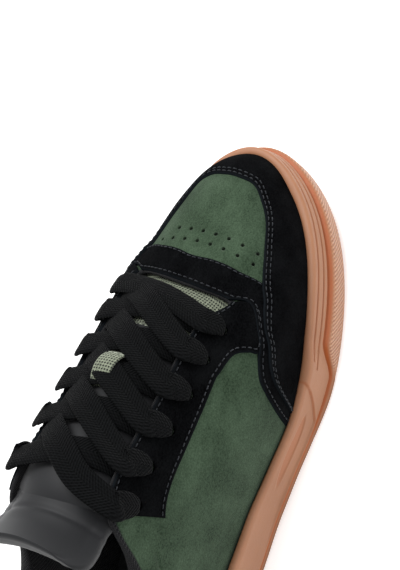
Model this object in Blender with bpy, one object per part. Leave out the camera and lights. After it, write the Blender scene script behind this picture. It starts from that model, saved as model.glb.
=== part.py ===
"""Right low-top skateboarding shoe, modelled in metres with +Z up.

The toe points along +X, the inner (medial) side of the foot is +Y and the outer
(lateral) side is -Y. The origin is the centre of the sole's bottom.

Every curved piece is worked out from one description of the shoe: a ring of named
sections round the outline, each with its place on the sole's edge, its place on the
upper's top edge, and the shape of the wall between them.
"""
from collections import namedtuple

import bmesh
import bpy
import numpy as np
from mathutils import Matrix, Vector

# Driving sizes of the shoe
SOLE_LENGTH = 0.300
BALL_WIDTH = 0.0985
HEEL_WIDTH = 0.075
SIDEWALL_HEIGHT = 0.030
HEEL_HEIGHT = 0.086
INSTEP_HEIGHT = 0.107
VAMP_HEIGHT = 0.0675
COLLAR_WIDTH = 0.061
THROAT_WIDTH = 0.040

# Cupsole
CUP_FLOOR = 0.014
TOE_SPRING = 0.010
HEEL_BEVEL = 0.0025
ARCH_LIFT = 0.0015
BUMPER = 0.0016
BAND_HEIGHT = 0.0130
OUTSOLE_EDGE = 0.0030
HEEL_SWELL = 0.10
HEEL_LEAN = 0.35
BAND_GROOVE_DEPTH = 0.0013
BAND_GROOVE_HEIGHT = 0.0013
RIB_GROOVE_DEPTH = 0.0009
SCOOP_DEPTH = 0.0009
WALL_LEAN = 0.0025
WALL_STEP = 0.0008
TREAD_ROUNDING = 0.0022
LUG_GROOVE_WIDTH = 0.0026
LUG_GROOVE_DEPTH = 0.0018
LUG_PITCH = 0.0125
LUG_MARGIN = 0.013

# Upper, its overlays and what lies in it
UPPER_WALL = 0.0020
COLLAR_PAD = 0.0085
FEATHER_INSET = 0.0085
OVERLAY_THICKNESS = 0.0013
OVERLAY_TUCK = 0.0030
FIT_GAP = 0.0003
OVERLAY_GAP = 0.00045
TONGUE_THICKNESS = 0.0075
TONGUE_RISE = 0.027
TONGUE_TUCK = 0.012
TONGUE_CLEARANCE = 0.0012
INSOLE_THICKNESS = 0.0040
INSOLE_DISH = 0.0012

# Lacing
EYELET_ROWS = 6
EYELET_DIAMETER = 0.0045
FIRST_ROW_STATION = 7.89
ROW_SPACING = 0.55
EYELET_SHARE = 0.865
MEDIAL_ROW_SHIFT = 0.30
LACE_WIDTH = 0.0120
LACE_THICKNESS = 0.0026
LACE_SINK = 0.0009
LACE_REST = LACE_THICKNESS / 2 - UPPER_WALL - TONGUE_CLEARANCE + 4 * FIT_GAP

# Stretches along the sole, as shares of its length, over which a form comes in or goes
SPRING_START = 0.70
HEEL_BEVEL_END = 0.055
ARCH_RISE = (0.36, 0.44)
ARCH_FALL = (0.50, 0.58)
FEATHER_FROM = (0.54, 0.72)
BUMPER_FROM = (0.55, 0.64)
TALL_BAND_FROM = (0.655, 0.705)
RIBS_FROM = (0.655, 0.668)
SCOOP_FROM = (0.38, 0.42)
SCOOP_TO = (0.60, 0.64)
LUG_ROWS = {"ball": (0.60, 6), "heel": (0.10, 4)}
TIP_FROM = (0.93, 0.99)

# Shares of the feather line's inset that it keeps at the rear and loses at the tip
REAR_INSET = 0.72
TIP_INSET = 0.17

# How finely the curved pieces are divided
COLUMNS = 56
WALL_STEPS = 10
INNER_STEPS = 6
LACE_DIVISIONS = 2

WIDTHS = {"heel": HEEL_WIDTH, "ball": BALL_WIDTH}
OPENINGS = {"collar": COLLAR_WIDTH, "throat": THROAT_WIDTH}
HEIGHTS = {"heel": HEEL_HEIGHT, "instep": INSTEP_HEIGHT, "vamp": VAMP_HEIGHT}

# One row for each section, from the heel's back along the outer side, round the toe
# and back along the inner side. Lengths are shares: edge_x and top_x of the sole's
# length, edge_y of the width named in wide, top_y of the opening named in gap, top_z
# of the height named in high, wall of the sidewall's height. flare and lean are the
# wall's angles off upright at its foot and at its top edge, in degrees, and rise and
# reach say how far each of the two angles carries up or down the wall.
Section = namedtuple(
    "Section", "name wide edge_x edge_y gap top_x top_y high top_z wall flare rise lean reach")

SECTION_ROWS = [
    ("heel_back", "heel", .000, .000, "collar", .050, .000, "heel", 1.00, 1.00, 8, .40, 14, .30),
    ("heel_corner_lat", "heel", .035, -.353, "collar", .077, -.328, "heel", .977, 1.00, 8, .40, 13, .30),
    ("heel_side_lat", "heel", .140, -.500, "collar", .157, -.484, "heel", .895, .967, 7, .40, 12, .30),
    ("ankle_lat", "heel", .240, -.507, "collar", .247, -.508, "heel", .884, .900, 6, .40, 12, .30),
    ("waist_rear_lat", "heel", .327, -.513, "collar", .317, -.484, "instep", .825, .833, 5, .40, 15, .32),
    ("eyestay_top_lat", "ball", .393, -.411, "throat", .370, -.600, "instep", 1.00, .783, 5, .42, 24, .35),
    ("eyestay_lat", "ball", .483, -.452, "throat", .473, -.488, "instep", .916, .685, 5, .45, 38, .36),
    ("instep_lat", "ball", .573, -.492, "throat", .580, -.475, "instep", .788, .665, 5, .50, 48, .38),
    ("throat_side_lat", "ball", .667, -.508, "throat", .673, -.500, "vamp", 1.052, .745, 5, .52, 56, .42),
    ("throat_corner_lat", "ball", .740, -.487, "throat", .706, -.630, "vamp", .926, .820, 5, .55, 60, .46),
    ("toe_side_lat", "ball", .827, -.431, "throat", .718, -.375, "vamp", .963, .833, 5, .58, 70, .50),
    ("toe_corner_lat", "ball", .933, -.274, "throat", .724, -.125, "vamp", .993, .833, 5, .60, 73, .52),
    ("toe_tip", "ball", .996, .030, "throat", .728, .050, "vamp", 1.00, .833, 5, .62, 73, .52),
    ("toe_corner_med", "ball", .960, .274, "throat", .732, .200, "vamp", .993, .833, 5, .60, 73, .52),
    ("toe_side_med", "ball", .877, .406, "throat", .737, .425, "vamp", .963, .833, 5, .58, 70, .50),
    ("throat_corner_med", "ball", .780, .467, "throat", .736, .688, "vamp", .911, .820, 5, .55, 62, .46),
    ("throat_side_med", "ball", .687, .467, "throat", .690, .650, "vamp", 1.052, .745, 5, .52, 56, .42),
    ("instep_med", "ball", .587, .426, "throat", .585, .613, "instep", .797, .665, 5, .50, 48, .38),
    ("eyestay_med", "ball", .493, .376, "throat", .480, .600, "instep", .925, .685, 5, .45, 38, .36),
    ("eyestay_top_med", "ball", .400, .350, "throat", .370, .660, "instep", 1.012, .783, 5, .42, 24, .35),
    ("waist_rear_med", "heel", .323, .460, "collar", .317, .492, "instep", .843, .833, 5, .40, 15, .32),
    ("ankle_med", "heel", .240, .480, "collar", .247, .508, "heel", .919, .900, 6, .40, 12, .30),
    ("heel_side_med", "heel", .140, .487, "collar", .157, .484, "heel", .919, .967, 7, .40, 12, .30),
    ("heel_corner_med", "heel", .037, .347, "collar", .077, .328, "heel", .983, 1.00, 8, .40, 13, .30),
]
SECTIONS = [Section(*row) for row in SECTION_ROWS]
STATIONS = {section.name: index for index, section in enumerate(SECTIONS)}

# Edges of the overlays: the station round the ring and the share of the wall's height
EdgePoint = namedtuple("EdgePoint", "station share")

TOE_GUARD_EDGE = [
    EdgePoint(7.08, .02), EdgePoint(7.17, .10), EdgePoint(7.28, .205), EdgePoint(7.42, .320),
    EdgePoint(7.60, .405), EdgePoint(7.80, .470), EdgePoint(8.02, .538), EdgePoint(8.30, .628),
    EdgePoint(8.62, .712), EdgePoint(8.92, .746), EdgePoint(9.22, .750), EdgePoint(9.60, .684),
    EdgePoint(10.06, .590), EdgePoint(10.67, .476), EdgePoint(11.04, .438), EdgePoint(11.33, .42),
    EdgePoint(11.66, .448), EdgePoint(12.08, .457), EdgePoint(12.61, .438), EdgePoint(12.89, .45),
    EdgePoint(13.13, .52), EdgePoint(13.80, .64), EdgePoint(14.40, .720), EdgePoint(14.80, .735),
    EdgePoint(15.10, .744), EdgePoint(15.38, .712), EdgePoint(15.70, .628), EdgePoint(15.98, .538),
    EdgePoint(16.20, .470), EdgePoint(16.40, .405), EdgePoint(16.58, .320), EdgePoint(16.72, .205),
    EdgePoint(16.83, .10), EdgePoint(16.92, .02),
]
EYESTAY_LEG_EDGE = [
    EdgePoint(5.00, .69), EdgePoint(5.60, .71), EdgePoint(6.40, .735), EdgePoint(7.08, .754),
    EdgePoint(7.24, .745), EdgePoint(7.43, .731), EdgePoint(7.56, .715), EdgePoint(7.65, .679),
    EdgePoint(7.72, .613), EdgePoint(7.77, .50),
]
VAMP_BAR_EDGE = [
    EdgePoint(9.30, .69), EdgePoint(9.44, .722), EdgePoint(9.88, .794), EdgePoint(10.26, .826),
    EdgePoint(10.76, .858), EdgePoint(11.67, .892), EdgePoint(12.64, .879), EdgePoint(13.62, .840),
    EdgePoint(14.28, .765), EdgePoint(14.75, .64),
]
COUNTER_EDGE = [
    EdgePoint(-2.65, .16), EdgePoint(-2.30, .36), EdgePoint(-1.70, .52), EdgePoint(-.90, .61),
    EdgePoint(0.0, .64), EdgePoint(.90, .61), EdgePoint(1.70, .52), EdgePoint(2.30, .36),
    EdgePoint(2.65, .16),
]
OVERLAY_TOP_SHARE = .985
LEG_CORNERS = (7.56, 7.65, 7.72)
GUARD_CORNERS = (7.18, 7.28, 7.42)

# The tongue along the throat: place is 0 at the throat's front and 1 at the top of the
# eyestay, reach is its half width over the throat's, thick a share of its thickness.
TongueSection = namedtuple("TongueSection", "place reach thick")
TONGUE_SECTIONS = [
    TongueSection(-.90, .62, .30), TongueSection(-.45, .84, .45), TongueSection(0.0, 1.10, .62),
    TongueSection(.15, 1.22, .74), TongueSection(.30, 1.28, .84), TongueSection(.45, 1.30, .92),
    TongueSection(.60, 1.28, 1.0), TongueSection(.75, 1.22, 1.0), TongueSection(.88, 1.13, 1.0),
    TongueSection(1.0, 1.04, 1.0), TongueSection(1.25, 1.00, 1.10), TongueSection(1.55, 1.06, 1.25),
    TongueSection(1.80, 1.08, 1.25), TongueSection(1.94, 1.00, .95), TongueSection(2.0, .90, .40),
]

MATERIALS = {
    "gum_rubber": ((0.53, 0.27, 0.15), 0.55),
    "green_suede": ((0.045, 0.085, 0.045), 0.92),
    "black_suede": ((0.012, 0.012, 0.014), 0.95),
    "sage_mesh": ((0.16, 0.20, 0.12), 0.9),
    "black_lace": ((0.014, 0.014, 0.016), 0.85),
    "black_foam": ((0.02, 0.02, 0.022), 0.9),
}


def smooth_step(value, start, end):
    """Rise from 0 at start to 1 at end with level ends."""
    share = np.clip((np.asarray(value, float) - start) / (end - start), 0.0, 1.0)
    return share * share * (3.0 - 2.0 * share)


def closed_spline(knots, values):
    """Return a smooth periodic function of period 1 through the values at the knots."""
    count = len(knots)
    grid = np.append(knots, knots[0] + 1.0)
    level = np.append(values, values[0])
    step = np.diff(grid)
    slope = np.diff(level) / step
    system = np.zeros((count, count))
    for index in range(count):
        system[index, index - 1] += step[index - 1]
        system[index, index] += 2.0 * (step[index - 1] + step[index])
        system[index, (index + 1) % count] += step[index]
    bend = np.linalg.solve(system, 6.0 * (slope - np.roll(slope, 1)))
    bend = np.append(bend, bend[0])

    def value_at(place):
        place = (np.asarray(place, float) - grid[0]) % 1.0 + grid[0]
        cell = np.clip(np.searchsorted(grid, place, side="right") - 1, 0, count - 1)
        before = (grid[cell + 1] - place) / step[cell]
        after = (place - grid[cell]) / step[cell]
        curve = (before**3 - before) * bend[cell] + (after**3 - after) * bend[cell + 1]
        return before * level[cell] + after * level[cell + 1] + curve * step[cell]**2 / 6.0

    return value_at


def section_sizes():
    """Turn the section table's shares into metres, one array for each column."""
    return {
        "edge_x": np.array([row.edge_x * SOLE_LENGTH for row in SECTIONS]),
        "edge_y": np.array([row.edge_y * WIDTHS[row.wide] for row in SECTIONS]),
        "top_x": np.array([row.top_x * SOLE_LENGTH for row in SECTIONS]),
        "top_y": np.array([row.top_y * OPENINGS[row.gap] for row in SECTIONS]),
        "top_z": np.array([row.top_z * HEIGHTS[row.high] for row in SECTIONS]),
        "wall": np.array([row.wall * SIDEWALL_HEIGHT for row in SECTIONS]),
        "flare": np.radians([row.flare for row in SECTIONS]),
        "rise": np.array([row.rise for row in SECTIONS]),
        "lean": np.radians([row.lean for row in SECTIONS]),
        "reach": np.array([row.reach for row in SECTIONS]),
    }


SIZES = section_sizes()
CHORDS = np.hypot(
    np.roll(SIZES["edge_x"], -1) - SIZES["edge_x"],
    np.roll(SIZES["edge_y"], -1) - SIZES["edge_y"])
KNOTS = np.concatenate([[0.0], np.cumsum(CHORDS)[:-1]]) / CHORDS.sum()
CURVES = {name: closed_spline(KNOTS, values) for name, values in SIZES.items()}
RING = np.arange(COLUMNS) / COLUMNS


def ring_place(station):
    """Turn a station number into a place round the ring, 1 for the whole way round."""
    count = len(SECTIONS)
    station = np.asarray(station, float)
    turns = np.floor(station / count)
    return turns + np.interp(station - turns * count, np.arange(count + 1), np.append(KNOTS, 1.0))


def station_of(place):
    """Turn a place round the ring into a station number from 0 to the section count."""
    place = np.asarray(place, float)
    return np.interp(place % 1.0, np.append(KNOTS, 1.0), np.arange(len(SECTIONS) + 1))


def tread_height(x):
    """Height of the tread above the ground: toe spring, arch and the heel's bevel."""
    share = np.asarray(x, float) / SOLE_LENGTH
    ahead = (share - SPRING_START) / (1.0 - SPRING_START)
    behind = (HEEL_BEVEL_END - share) / HEEL_BEVEL_END
    spring = TOE_SPRING * np.clip(ahead, 0.0, None)**2
    bevel = HEEL_BEVEL * np.clip(behind, 0.0, None)**2
    arch = ARCH_LIFT * smooth_step(share, *ARCH_RISE) * (1.0 - smooth_step(share, *ARCH_FALL))
    return spring + bevel + arch


def outline(place):
    """Return x, y and the outward normal of the sole's edge, seen from above."""
    step = 1e-4
    x = CURVES["edge_x"](place)
    y = CURVES["edge_y"](place)
    along_x = CURVES["edge_x"](place + step) - CURVES["edge_x"](place - step)
    along_y = CURVES["edge_y"](place + step) - CURVES["edge_y"](place - step)
    length = np.hypot(along_x, along_y)
    return x, y, along_y / length, -along_x / length


def wall_face(place, share):
    """Point on the upper's outer face, share 0 at its foot and 1 at its top edge."""
    x, y, out_x, out_y = outline(place)
    forward = x / SOLE_LENGTH
    inset = FEATHER_INSET * (
        REAR_INSET + (1 - REAR_INSET) * smooth_step(forward, *FEATHER_FROM)
        - TIP_INSET * smooth_step(forward, *TIP_FROM))
    foot_x = x - inset * out_x
    foot_y = y - inset * out_y
    foot_z = tread_height(foot_x) + CUP_FLOOR
    top_x = CURVES["top_x"](place)
    top_y = CURVES["top_y"](place)
    top_z = CURVES["top_z"](place)
    across = np.hypot(foot_x - top_x, foot_y - top_y)
    away_x = (foot_x - top_x) / across
    away_y = (foot_y - top_y) / across
    height = top_z - foot_z
    rise = CURVES["rise"](place) * height
    reach = CURVES["reach"](place) * np.hypot(across, height)
    flare = CURVES["flare"](place)
    lean = CURVES["lean"](place)
    corners = [
        (foot_x, foot_y, foot_z),
        (foot_x + out_x * rise * np.sin(flare), foot_y + out_y * rise * np.sin(flare),
         foot_z + rise * np.cos(flare)),
        (top_x + away_x * reach * np.sin(lean), top_y + away_y * reach * np.sin(lean),
         top_z - reach * np.cos(lean)),
        (top_x, top_y, top_z),
    ]
    weights = [(1 - share)**3, 3 * (1 - share)**2 * share, 3 * (1 - share) * share**2, share**3]
    return sum(w[..., None] * np.stack(c, -1) for w, c in zip(weights, corners))


def face_normal(place, share):
    """Outward normal of the upper's outer face."""
    step = 1e-3
    along = wall_face(place + step, share) - wall_face(place - step, share)
    upward = wall_face(place, share + step) - wall_face(place, share - step)
    normal = np.cross(along, upward)
    return normal / np.linalg.norm(normal, axis=-1, keepdims=True)


def upper_face(place, share, out=0.0):
    """Point at a distance outside the upper's outer face."""
    place, share, out = np.broadcast_arrays(
        np.asarray(place, float), np.asarray(share, float), np.asarray(out, float))
    return wall_face(place, share) + face_normal(place, share) * out[..., None]


def share_at_height(place, height):
    """Share of the wall at which the upper's face stands at a height above the tread."""
    low = np.zeros_like(place)
    high = np.full_like(place, .6)
    for _ in range(30):
        middle = (low + high) / 2
        point = wall_face(place, middle)
        below = point[..., 2] - tread_height(point[..., 0]) < height
        low = np.where(below, middle, low)
        high = np.where(below, high, middle)
    return (low + high) / 2


def edge_share(points, station):
    """Share of the wall at an overlay's edge, smoothly through the edge's points."""
    knots = np.array([point.station for point in points])
    level = np.array([point.share for point in points])
    slope = np.gradient(level, knots)
    cell = np.clip(np.searchsorted(knots, station, side="right") - 1, 0, len(knots) - 2)
    width = knots[cell + 1] - knots[cell]
    place = np.clip((station - knots[cell]) / width, 0.0, 1.0)
    rise = level[cell + 1] - level[cell]
    start = slope[cell] * width
    end = slope[cell + 1] * width
    return level[cell] + place * (start + place * (
        (3 * rise - 2 * start - end) + place * (start + end - 2 * rise)))


def wall_length(place):
    """Rough length of the wall from its foot to its top edge."""
    levels = np.linspace(0.0, 1.0, 9)
    points = wall_face(place[:, None], np.broadcast_to(levels, (len(place), 9)))
    return np.linalg.norm(np.diff(points, axis=1), axis=-1).sum(axis=1)


def overlay_cover(place):
    """1 where the toe guard or the heel counter lies on the upper's foot, 0 elsewhere."""
    station = station_of(place)
    last = len(SECTIONS)
    fade = .50
    margin = .15
    start = TOE_GUARD_EDGE[0].station - margin
    end = TOE_GUARD_EDGE[-1].station + margin
    guard = smooth_step(station, start - fade, start) * (1 - smooth_step(station, end, end + fade))
    reach = COUNTER_EDGE[-1].station + margin
    counter = 1 - smooth_step(station, reach, reach + fade)
    counter = counter + smooth_step(station, last - reach - fade, last - reach)
    return guard + counter


def cup_gap(place):
    """Distance from the upper's outer face to the cup's wall."""
    return FIT_GAP + overlay_cover(place) * (OVERLAY_THICKNESS + FIT_GAP)


def add_material(obj, key):
    """Give an object its own simple material."""
    colour, roughness = MATERIALS[key]
    material = bpy.data.materials.new(obj.name + "_" + key)
    material.use_nodes = True
    shader = material.node_tree.nodes["Principled BSDF"]
    shader.inputs["Base Color"].default_value = (*colour, 1.0)
    shader.inputs["Roughness"].default_value = roughness
    shader.inputs["Metallic"].default_value = 0.0
    obj.data.materials.append(material)


def finish_mesh(name, mesh_builder, collection):
    """Turn a bmesh into an object with outward faces and smooth shading."""
    bmesh.ops.recalc_face_normals(mesh_builder, faces=mesh_builder.faces)
    if mesh_builder.calc_volume(signed=True) < 0:
        bmesh.ops.reverse_faces(mesh_builder, faces=mesh_builder.faces)
    mesh = bpy.data.meshes.new(name)
    mesh_builder.to_mesh(mesh)
    mesh_builder.free()
    mesh.shade_smooth()
    mesh.set_sharp_from_angle(angle=np.radians(38))
    obj = bpy.data.objects.new(name, mesh)
    collection.objects.link(obj)
    return obj


def bridge_loop(builder, loop):
    """Fill a loop by joining its points in pairs across it."""
    count = len(loop)
    for index in range(count // 2):
        corners = [
            loop[index], loop[index + 1], loop[(count - 1 - index) % count],
            loop[(count - index) % count]]
        unique = list(dict.fromkeys(corners))
        if len(unique) > 2:
            builder.faces.new(unique)


def loft_open(name, sections, collection):
    """Skin a row of closed sections, capping both ends by pairs of points."""
    builder = bmesh.new()
    rings = [[builder.verts.new(point) for point in section] for section in sections]
    count = len(rings[0])
    for ring, following in zip(rings, rings[1:]):
        for index in range(count):
            nearby = (index + 1) % count
            builder.faces.new([ring[index], ring[nearby], following[nearby], following[index]])
    for ring in (rings[0], rings[-1]):
        for index in range(count // 2 - 1):
            builder.faces.new([
                ring[index], ring[index + 1], ring[count - 2 - index], ring[count - 1 - index]])
    return finish_mesh(name, builder, collection)


def loft_ring(name, columns, collection, closed_section):
    """Skin columns of points round the shoe.

    With closed_section each column is a closed loop, as in the upper's hollow wall.
    Otherwise the first and last points bound the bottom and the top, which are filled.
    """
    builder = bmesh.new()
    rows = [[builder.verts.new(point) for point in column] for column in columns]
    count = len(rows)
    steps = len(rows[0]) if closed_section else len(rows[0]) - 1
    for index in range(count):
        column = rows[index]
        following = rows[(index + 1) % count]
        for step in range(steps):
            nearby = (step + 1) % len(column)
            builder.faces.new([column[step], following[step], following[nearby], column[nearby]])
    if not closed_section:
        for end in (0, -1):
            bridge_loop(builder, [row[end] for row in rows])
    return finish_mesh(name, builder, collection)


def sole_column(place):
    """Points of the cupsole's side at one place, from the tread over the lip to the floor.

    The band at the bottom swells round the toe and ends in a ledge. Above it the wall
    leans in, with two thin rib grooves at the front and a scoop at the waist.
    """
    x, y, out_x, out_y = outline(place)
    share = x / SOLE_LENGTH
    front = smooth_step(share, *TALL_BAND_FROM)
    swell = BUMPER * (HEEL_SWELL + (1 - HEEL_SWELL) * smooth_step(share, *BUMPER_FROM))
    wall = float(CURVES["wall"](place))
    band = OUTSOLE_EDGE + (BAND_HEIGHT - OUTSOLE_EDGE) * front
    groove = BAND_GROOVE_DEPTH * (.5 + .5 * front)
    ledge = BAND_GROOVE_HEIGHT * (.5 + .5 * front)
    rib = RIB_GROOVE_DEPTH * smooth_step(share, *RIBS_FROM)
    scoop = SCOOP_DEPTH * smooth_step(share, *SCOOP_FROM) * (1 - smooth_step(share, *SCOOP_TO))
    step = WALL_STEP * front
    lean = WALL_LEAN * (HEEL_LEAN + (1 - HEEL_LEAN) * front)
    rest = wall - band
    profile = [
        (swell - TREAD_ROUNDING, 0.0),
        (swell - TREAD_ROUNDING * .25, TREAD_ROUNDING * .2),
        (swell, TREAD_ROUNDING * .9),
        (swell, band - .0018),
        (swell - .0007, band - .0002),
        (-groove - step, band + .0002),
        (-groove - step, band + ledge),
        (-step - lean * .14, band + ledge + .0006),
        (-step - lean * .33, band + .34 * rest),
        (-step - lean * .37 - rib, band + .37 * rest),
        (-step - lean * .41, band + .40 * rest),
        (-step - lean * .66 - scoop * .6, band + .67 * rest),
        (-step - lean * .70 - rib - scoop, band + .70 * rest),
        (-step - lean * .74 - scoop, band + .73 * rest),
        (-step - lean * .90 - scoop, band + .90 * rest),
        (-step - lean - .0005 - scoop * .5, band + .97 * rest),
        (-step - lean - .0014, wall),
    ]
    points = []
    for outward, height in profile:
        point_x = x + out_x * outward
        points.append((point_x, y + out_y * outward, float(tread_height(point_x)) + height))
    gap = float(cup_gap(place))
    lip_share = float(share_at_height(np.array([place]), wall)[0])
    lip = upper_face(place, lip_share, gap)
    points.append((lip[0], lip[1], float(tread_height(lip[0])) + wall))
    points.append(tuple(upper_face(place, lip_share * .5, gap)))
    foot = upper_face(place, 0.0, gap)
    points.append((foot[0], foot[1], float(tread_height(foot[0])) + CUP_FLOOR - FIT_GAP))
    return points


def half_width_at(x, side):
    """Half width of the sole on one side at a distance from the heel."""
    places = np.linspace(.02, .48, 60) if side < 0 else np.linspace(.98, .52, 60)
    edge_x, edge_y, _, _ = outline(places)
    return abs(float(np.interp(x, edge_x, edge_y)))


def tread_cutter(collection):
    """Flex grooves across the ball and the heel, as one cutter."""
    builder = bmesh.new()
    grooves = [
        SOLE_LENGTH * start + LUG_PITCH * index
        for start, count in LUG_ROWS.values() for index in range(count)]
    for x in grooves:
        left = half_width_at(x, -1) - LUG_MARGIN
        right = half_width_at(x, 1) - LUG_MARGIN
        centre = Vector((x, (right - left) / 2, float(tread_height(x))))
        size = (LUG_GROOVE_WIDTH, right + left, 2 * LUG_GROOVE_DEPTH)
        matrix = Matrix.Translation(centre) @ Matrix.Diagonal((*size, 1.0))
        bmesh.ops.create_cube(builder, size=1.0, matrix=matrix)
    return finish_mesh("tread_cutter", builder, collection)


def hide_helper(obj):
    """Mark an object as a cutter that isn't part of the shoe."""
    obj.hide_render = True
    obj.display_type = "WIRE"


def add_boolean(obj, operation, other):
    """Cut or join an object with another object or with a collection of them."""
    modifier = obj.modifiers.new(operation.lower(), "BOOLEAN")
    modifier.operation = operation
    modifier.solver = "EXACT"
    if isinstance(other, bpy.types.Collection):
        modifier.operand_type = "COLLECTION"
        modifier.collection = other
    else:
        modifier.object = other


def collar_padding(place):
    """1 along the padded collar, falling to 0 where the eyestay begins."""
    station = station_of(place)
    front = STATIONS["eyestay_top_lat"] - .40
    back = STATIONS["eyestay_top_med"] + .40
    fade = 1.40
    return 1 - smooth_step(station, front - fade, front) * (1 - smooth_step(station, back, back + fade))


def wall_thickness(place, share):
    """Thickness of the upper: its plain wall, and the padding under the collar's edge."""
    padding = collar_padding(place) * smooth_step(share, .52, .80)
    return UPPER_WALL + (COLLAR_PAD - UPPER_WALL) * padding


def upper_column(place):
    """Closed section of the upper's wall: up its outside, over the edge, down its inside."""
    shares = np.linspace(0.0, 1.0, WALL_STEPS + 1)
    outer = upper_face(place, shares)
    inner_shares = np.linspace(1.0, 0.0, INNER_STEPS + 1)
    inner = upper_face(place, inner_shares, -wall_thickness(place, inner_shares))
    inner[-1][2] = outer[0][2]
    edge = outer[-1]
    inside = inner[0]
    upward = outer[-1] - outer[-2]
    upward = upward / np.linalg.norm(upward)
    thickness = np.linalg.norm(inside - edge)
    rim = []
    for angle in np.radians([45.0, 90.0, 135.0]):
        middle = (edge + inside) / 2 + (edge - inside) / 2 * np.cos(angle)
        rim.append(middle + upward * thickness * .42 * np.sin(angle))
    return [tuple(point) for point in [*outer, *rim, *inner]]


def eyelet_stations():
    """Stations of the eyelets, from the toe to the ankle, on each side of the throat."""
    lateral = [FIRST_ROW_STATION - ROW_SPACING * row for row in range(EYELET_ROWS)]
    medial = [len(SECTIONS) - station - MEDIAL_ROW_SHIFT for station in lateral]
    return lateral, medial


def eyelet_cutter(collection):
    """A pin through the wall at each eyelet, as one cutter."""
    builder = bmesh.new()
    depth = .010
    lateral, medial = eyelet_stations()
    for station in lateral + medial:
        place = ring_place(station)
        centre = Vector(upper_face(place, EYELET_SHARE))
        normal = Vector(face_normal(np.asarray(place), np.asarray(EYELET_SHARE)))
        turn = normal.to_track_quat("Z", "Y").to_matrix().to_4x4()
        bmesh.ops.create_cone(
            builder, cap_ends=True, segments=8, radius1=EYELET_DIAMETER / 2,
            radius2=EYELET_DIAMETER / 2, depth=depth, matrix=Matrix.Translation(centre) @ turn)
    return finish_mesh("eyelet_cutter", builder, collection)


def overlay_sections(places, low, high, rows):
    """Closed sections of a slab that lies on the upper between two shares of its wall."""
    sections = []
    for place, start, end in zip(places, low, high):
        shares = np.linspace(start, end, rows)
        inner = upper_face(place, shares, OVERLAY_GAP)
        outer = upper_face(place, shares[::-1], FIT_GAP + OVERLAY_THICKNESS)
        sections.append([tuple(point) for point in [*inner, *outer]])
    return sections


def overlay_places(first, last, extra=()):
    """Ring places from one station to another, on the upper's own columns between them."""
    start = float(ring_place(first))
    end = float(ring_place(last))
    turns = [RING - 1.0, RING]
    inner = [p for turn in turns for p in turn if start + .004 < p < end - .004]
    added = [float(ring_place(station)) for station in extra]
    places = sorted([start, end, *inner, *added])
    kept = [places[0]]
    for place in places[1:]:
        if place - kept[-1] > .0015:
            kept.append(place)
    return np.array(kept)


def tuck_share(places):
    """Share of the wall where an overlay's lower edge hides inside the cup."""
    wall = CURVES["wall"](places)
    return share_at_height(places, wall - OVERLAY_TUCK)


def build_toe_guard(collection):
    corners = [*GUARD_CORNERS, *(len(SECTIONS) - station for station in GUARD_CORNERS)]
    places = overlay_places(TOE_GUARD_EDGE[0].station, TOE_GUARD_EDGE[-1].station, corners)
    station = ring_station(places)
    low = tuck_share(places)
    high = np.maximum(edge_share(TOE_GUARD_EDGE, station), low + .05)
    sections = overlay_sections(places, low, high, 8)
    return loft_open("toe_guard", sections, collection)


def ring_station(places):
    """Station numbers that run on below 0 behind the heel."""
    return station_of(places) - len(SECTIONS) * (places < 0)


def build_heel_counter(collection):
    places = overlay_places(COUNTER_EDGE[0].station, COUNTER_EDGE[-1].station)
    station = ring_station(places)
    low = tuck_share(places)
    high = np.maximum(edge_share(COUNTER_EDGE, station), low + .05)
    sections = overlay_sections(places, low, high, 5)
    return loft_open("heel_counter", sections, collection)


def eyestay_low_edge(places):
    """Outer edge of the eyestay: its legs, the toe guard's edge, and the vamp bar's front."""
    station = ring_station(places)
    mirrored = np.minimum(station, len(SECTIONS) - station)
    leg = edge_share(EYESTAY_LEG_EDGE, np.minimum(mirrored, EYESTAY_LEG_EDGE[-1].station))
    bar = edge_share(VAMP_BAR_EDGE, station)
    margin = 2.0 * FIT_GAP / wall_length(places)
    guard = edge_share(TOE_GUARD_EDGE, station) + margin
    in_bar = (station > VAMP_BAR_EDGE[0].station) & (station < VAMP_BAR_EDGE[-1].station)
    in_leg = mirrored < EYESTAY_LEG_EDGE[-1].station
    own = np.where(in_bar, bar, np.where(in_leg, leg, 0.0))
    return np.maximum(own, guard * (mirrored > TOE_GUARD_EDGE[0].station))


def build_eyestay(collection):
    leg_end = EYESTAY_LEG_EDGE[-1].station
    corners = [*LEG_CORNERS, leg_end]
    corners = corners + [len(SECTIONS) - station for station in corners]
    first = EYESTAY_LEG_EDGE[0].station
    places = overlay_places(first, len(SECTIONS) - first, corners)
    low = eyestay_low_edge(places)
    high = np.full_like(low, OVERLAY_TOP_SHARE)
    sections = overlay_sections(places, low, high, 6)
    return loft_open("eyestay", sections, collection)


def build_cupsole(collection, cutters):
    columns = [sole_column(place) for place in RING]
    sole = loft_ring("cupsole", columns, collection, closed_section=False)
    cutter = tread_cutter(cutters)
    hide_helper(cutter)
    add_boolean(sole, "DIFFERENCE", cutter)
    return sole


def build_upper(collection):
    columns = [upper_column(place) for place in RING]
    return loft_ring("upper", columns, collection, closed_section=True)


def build_insole(collection):
    """Footbed with a raised rim, inside the upper and on the cup's floor."""
    columns = []
    clearance = UPPER_WALL + 2 * FIT_GAP
    for place in RING:
        edge = upper_face(place, 0.0, -clearance)
        inner = upper_face(place, 0.0, -clearance - .008)
        floor = float(tread_height(edge[0])) + CUP_FLOOR
        inner_floor = float(tread_height(inner[0])) + CUP_FLOOR
        columns.append([
            (edge[0], edge[1], floor),
            (edge[0], edge[1], floor + INSOLE_THICKNESS),
            (inner[0], inner[1], inner_floor + INSOLE_THICKNESS - INSOLE_DISH),
        ])
    return loft_ring("insole", columns, collection, closed_section=False)


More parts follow.
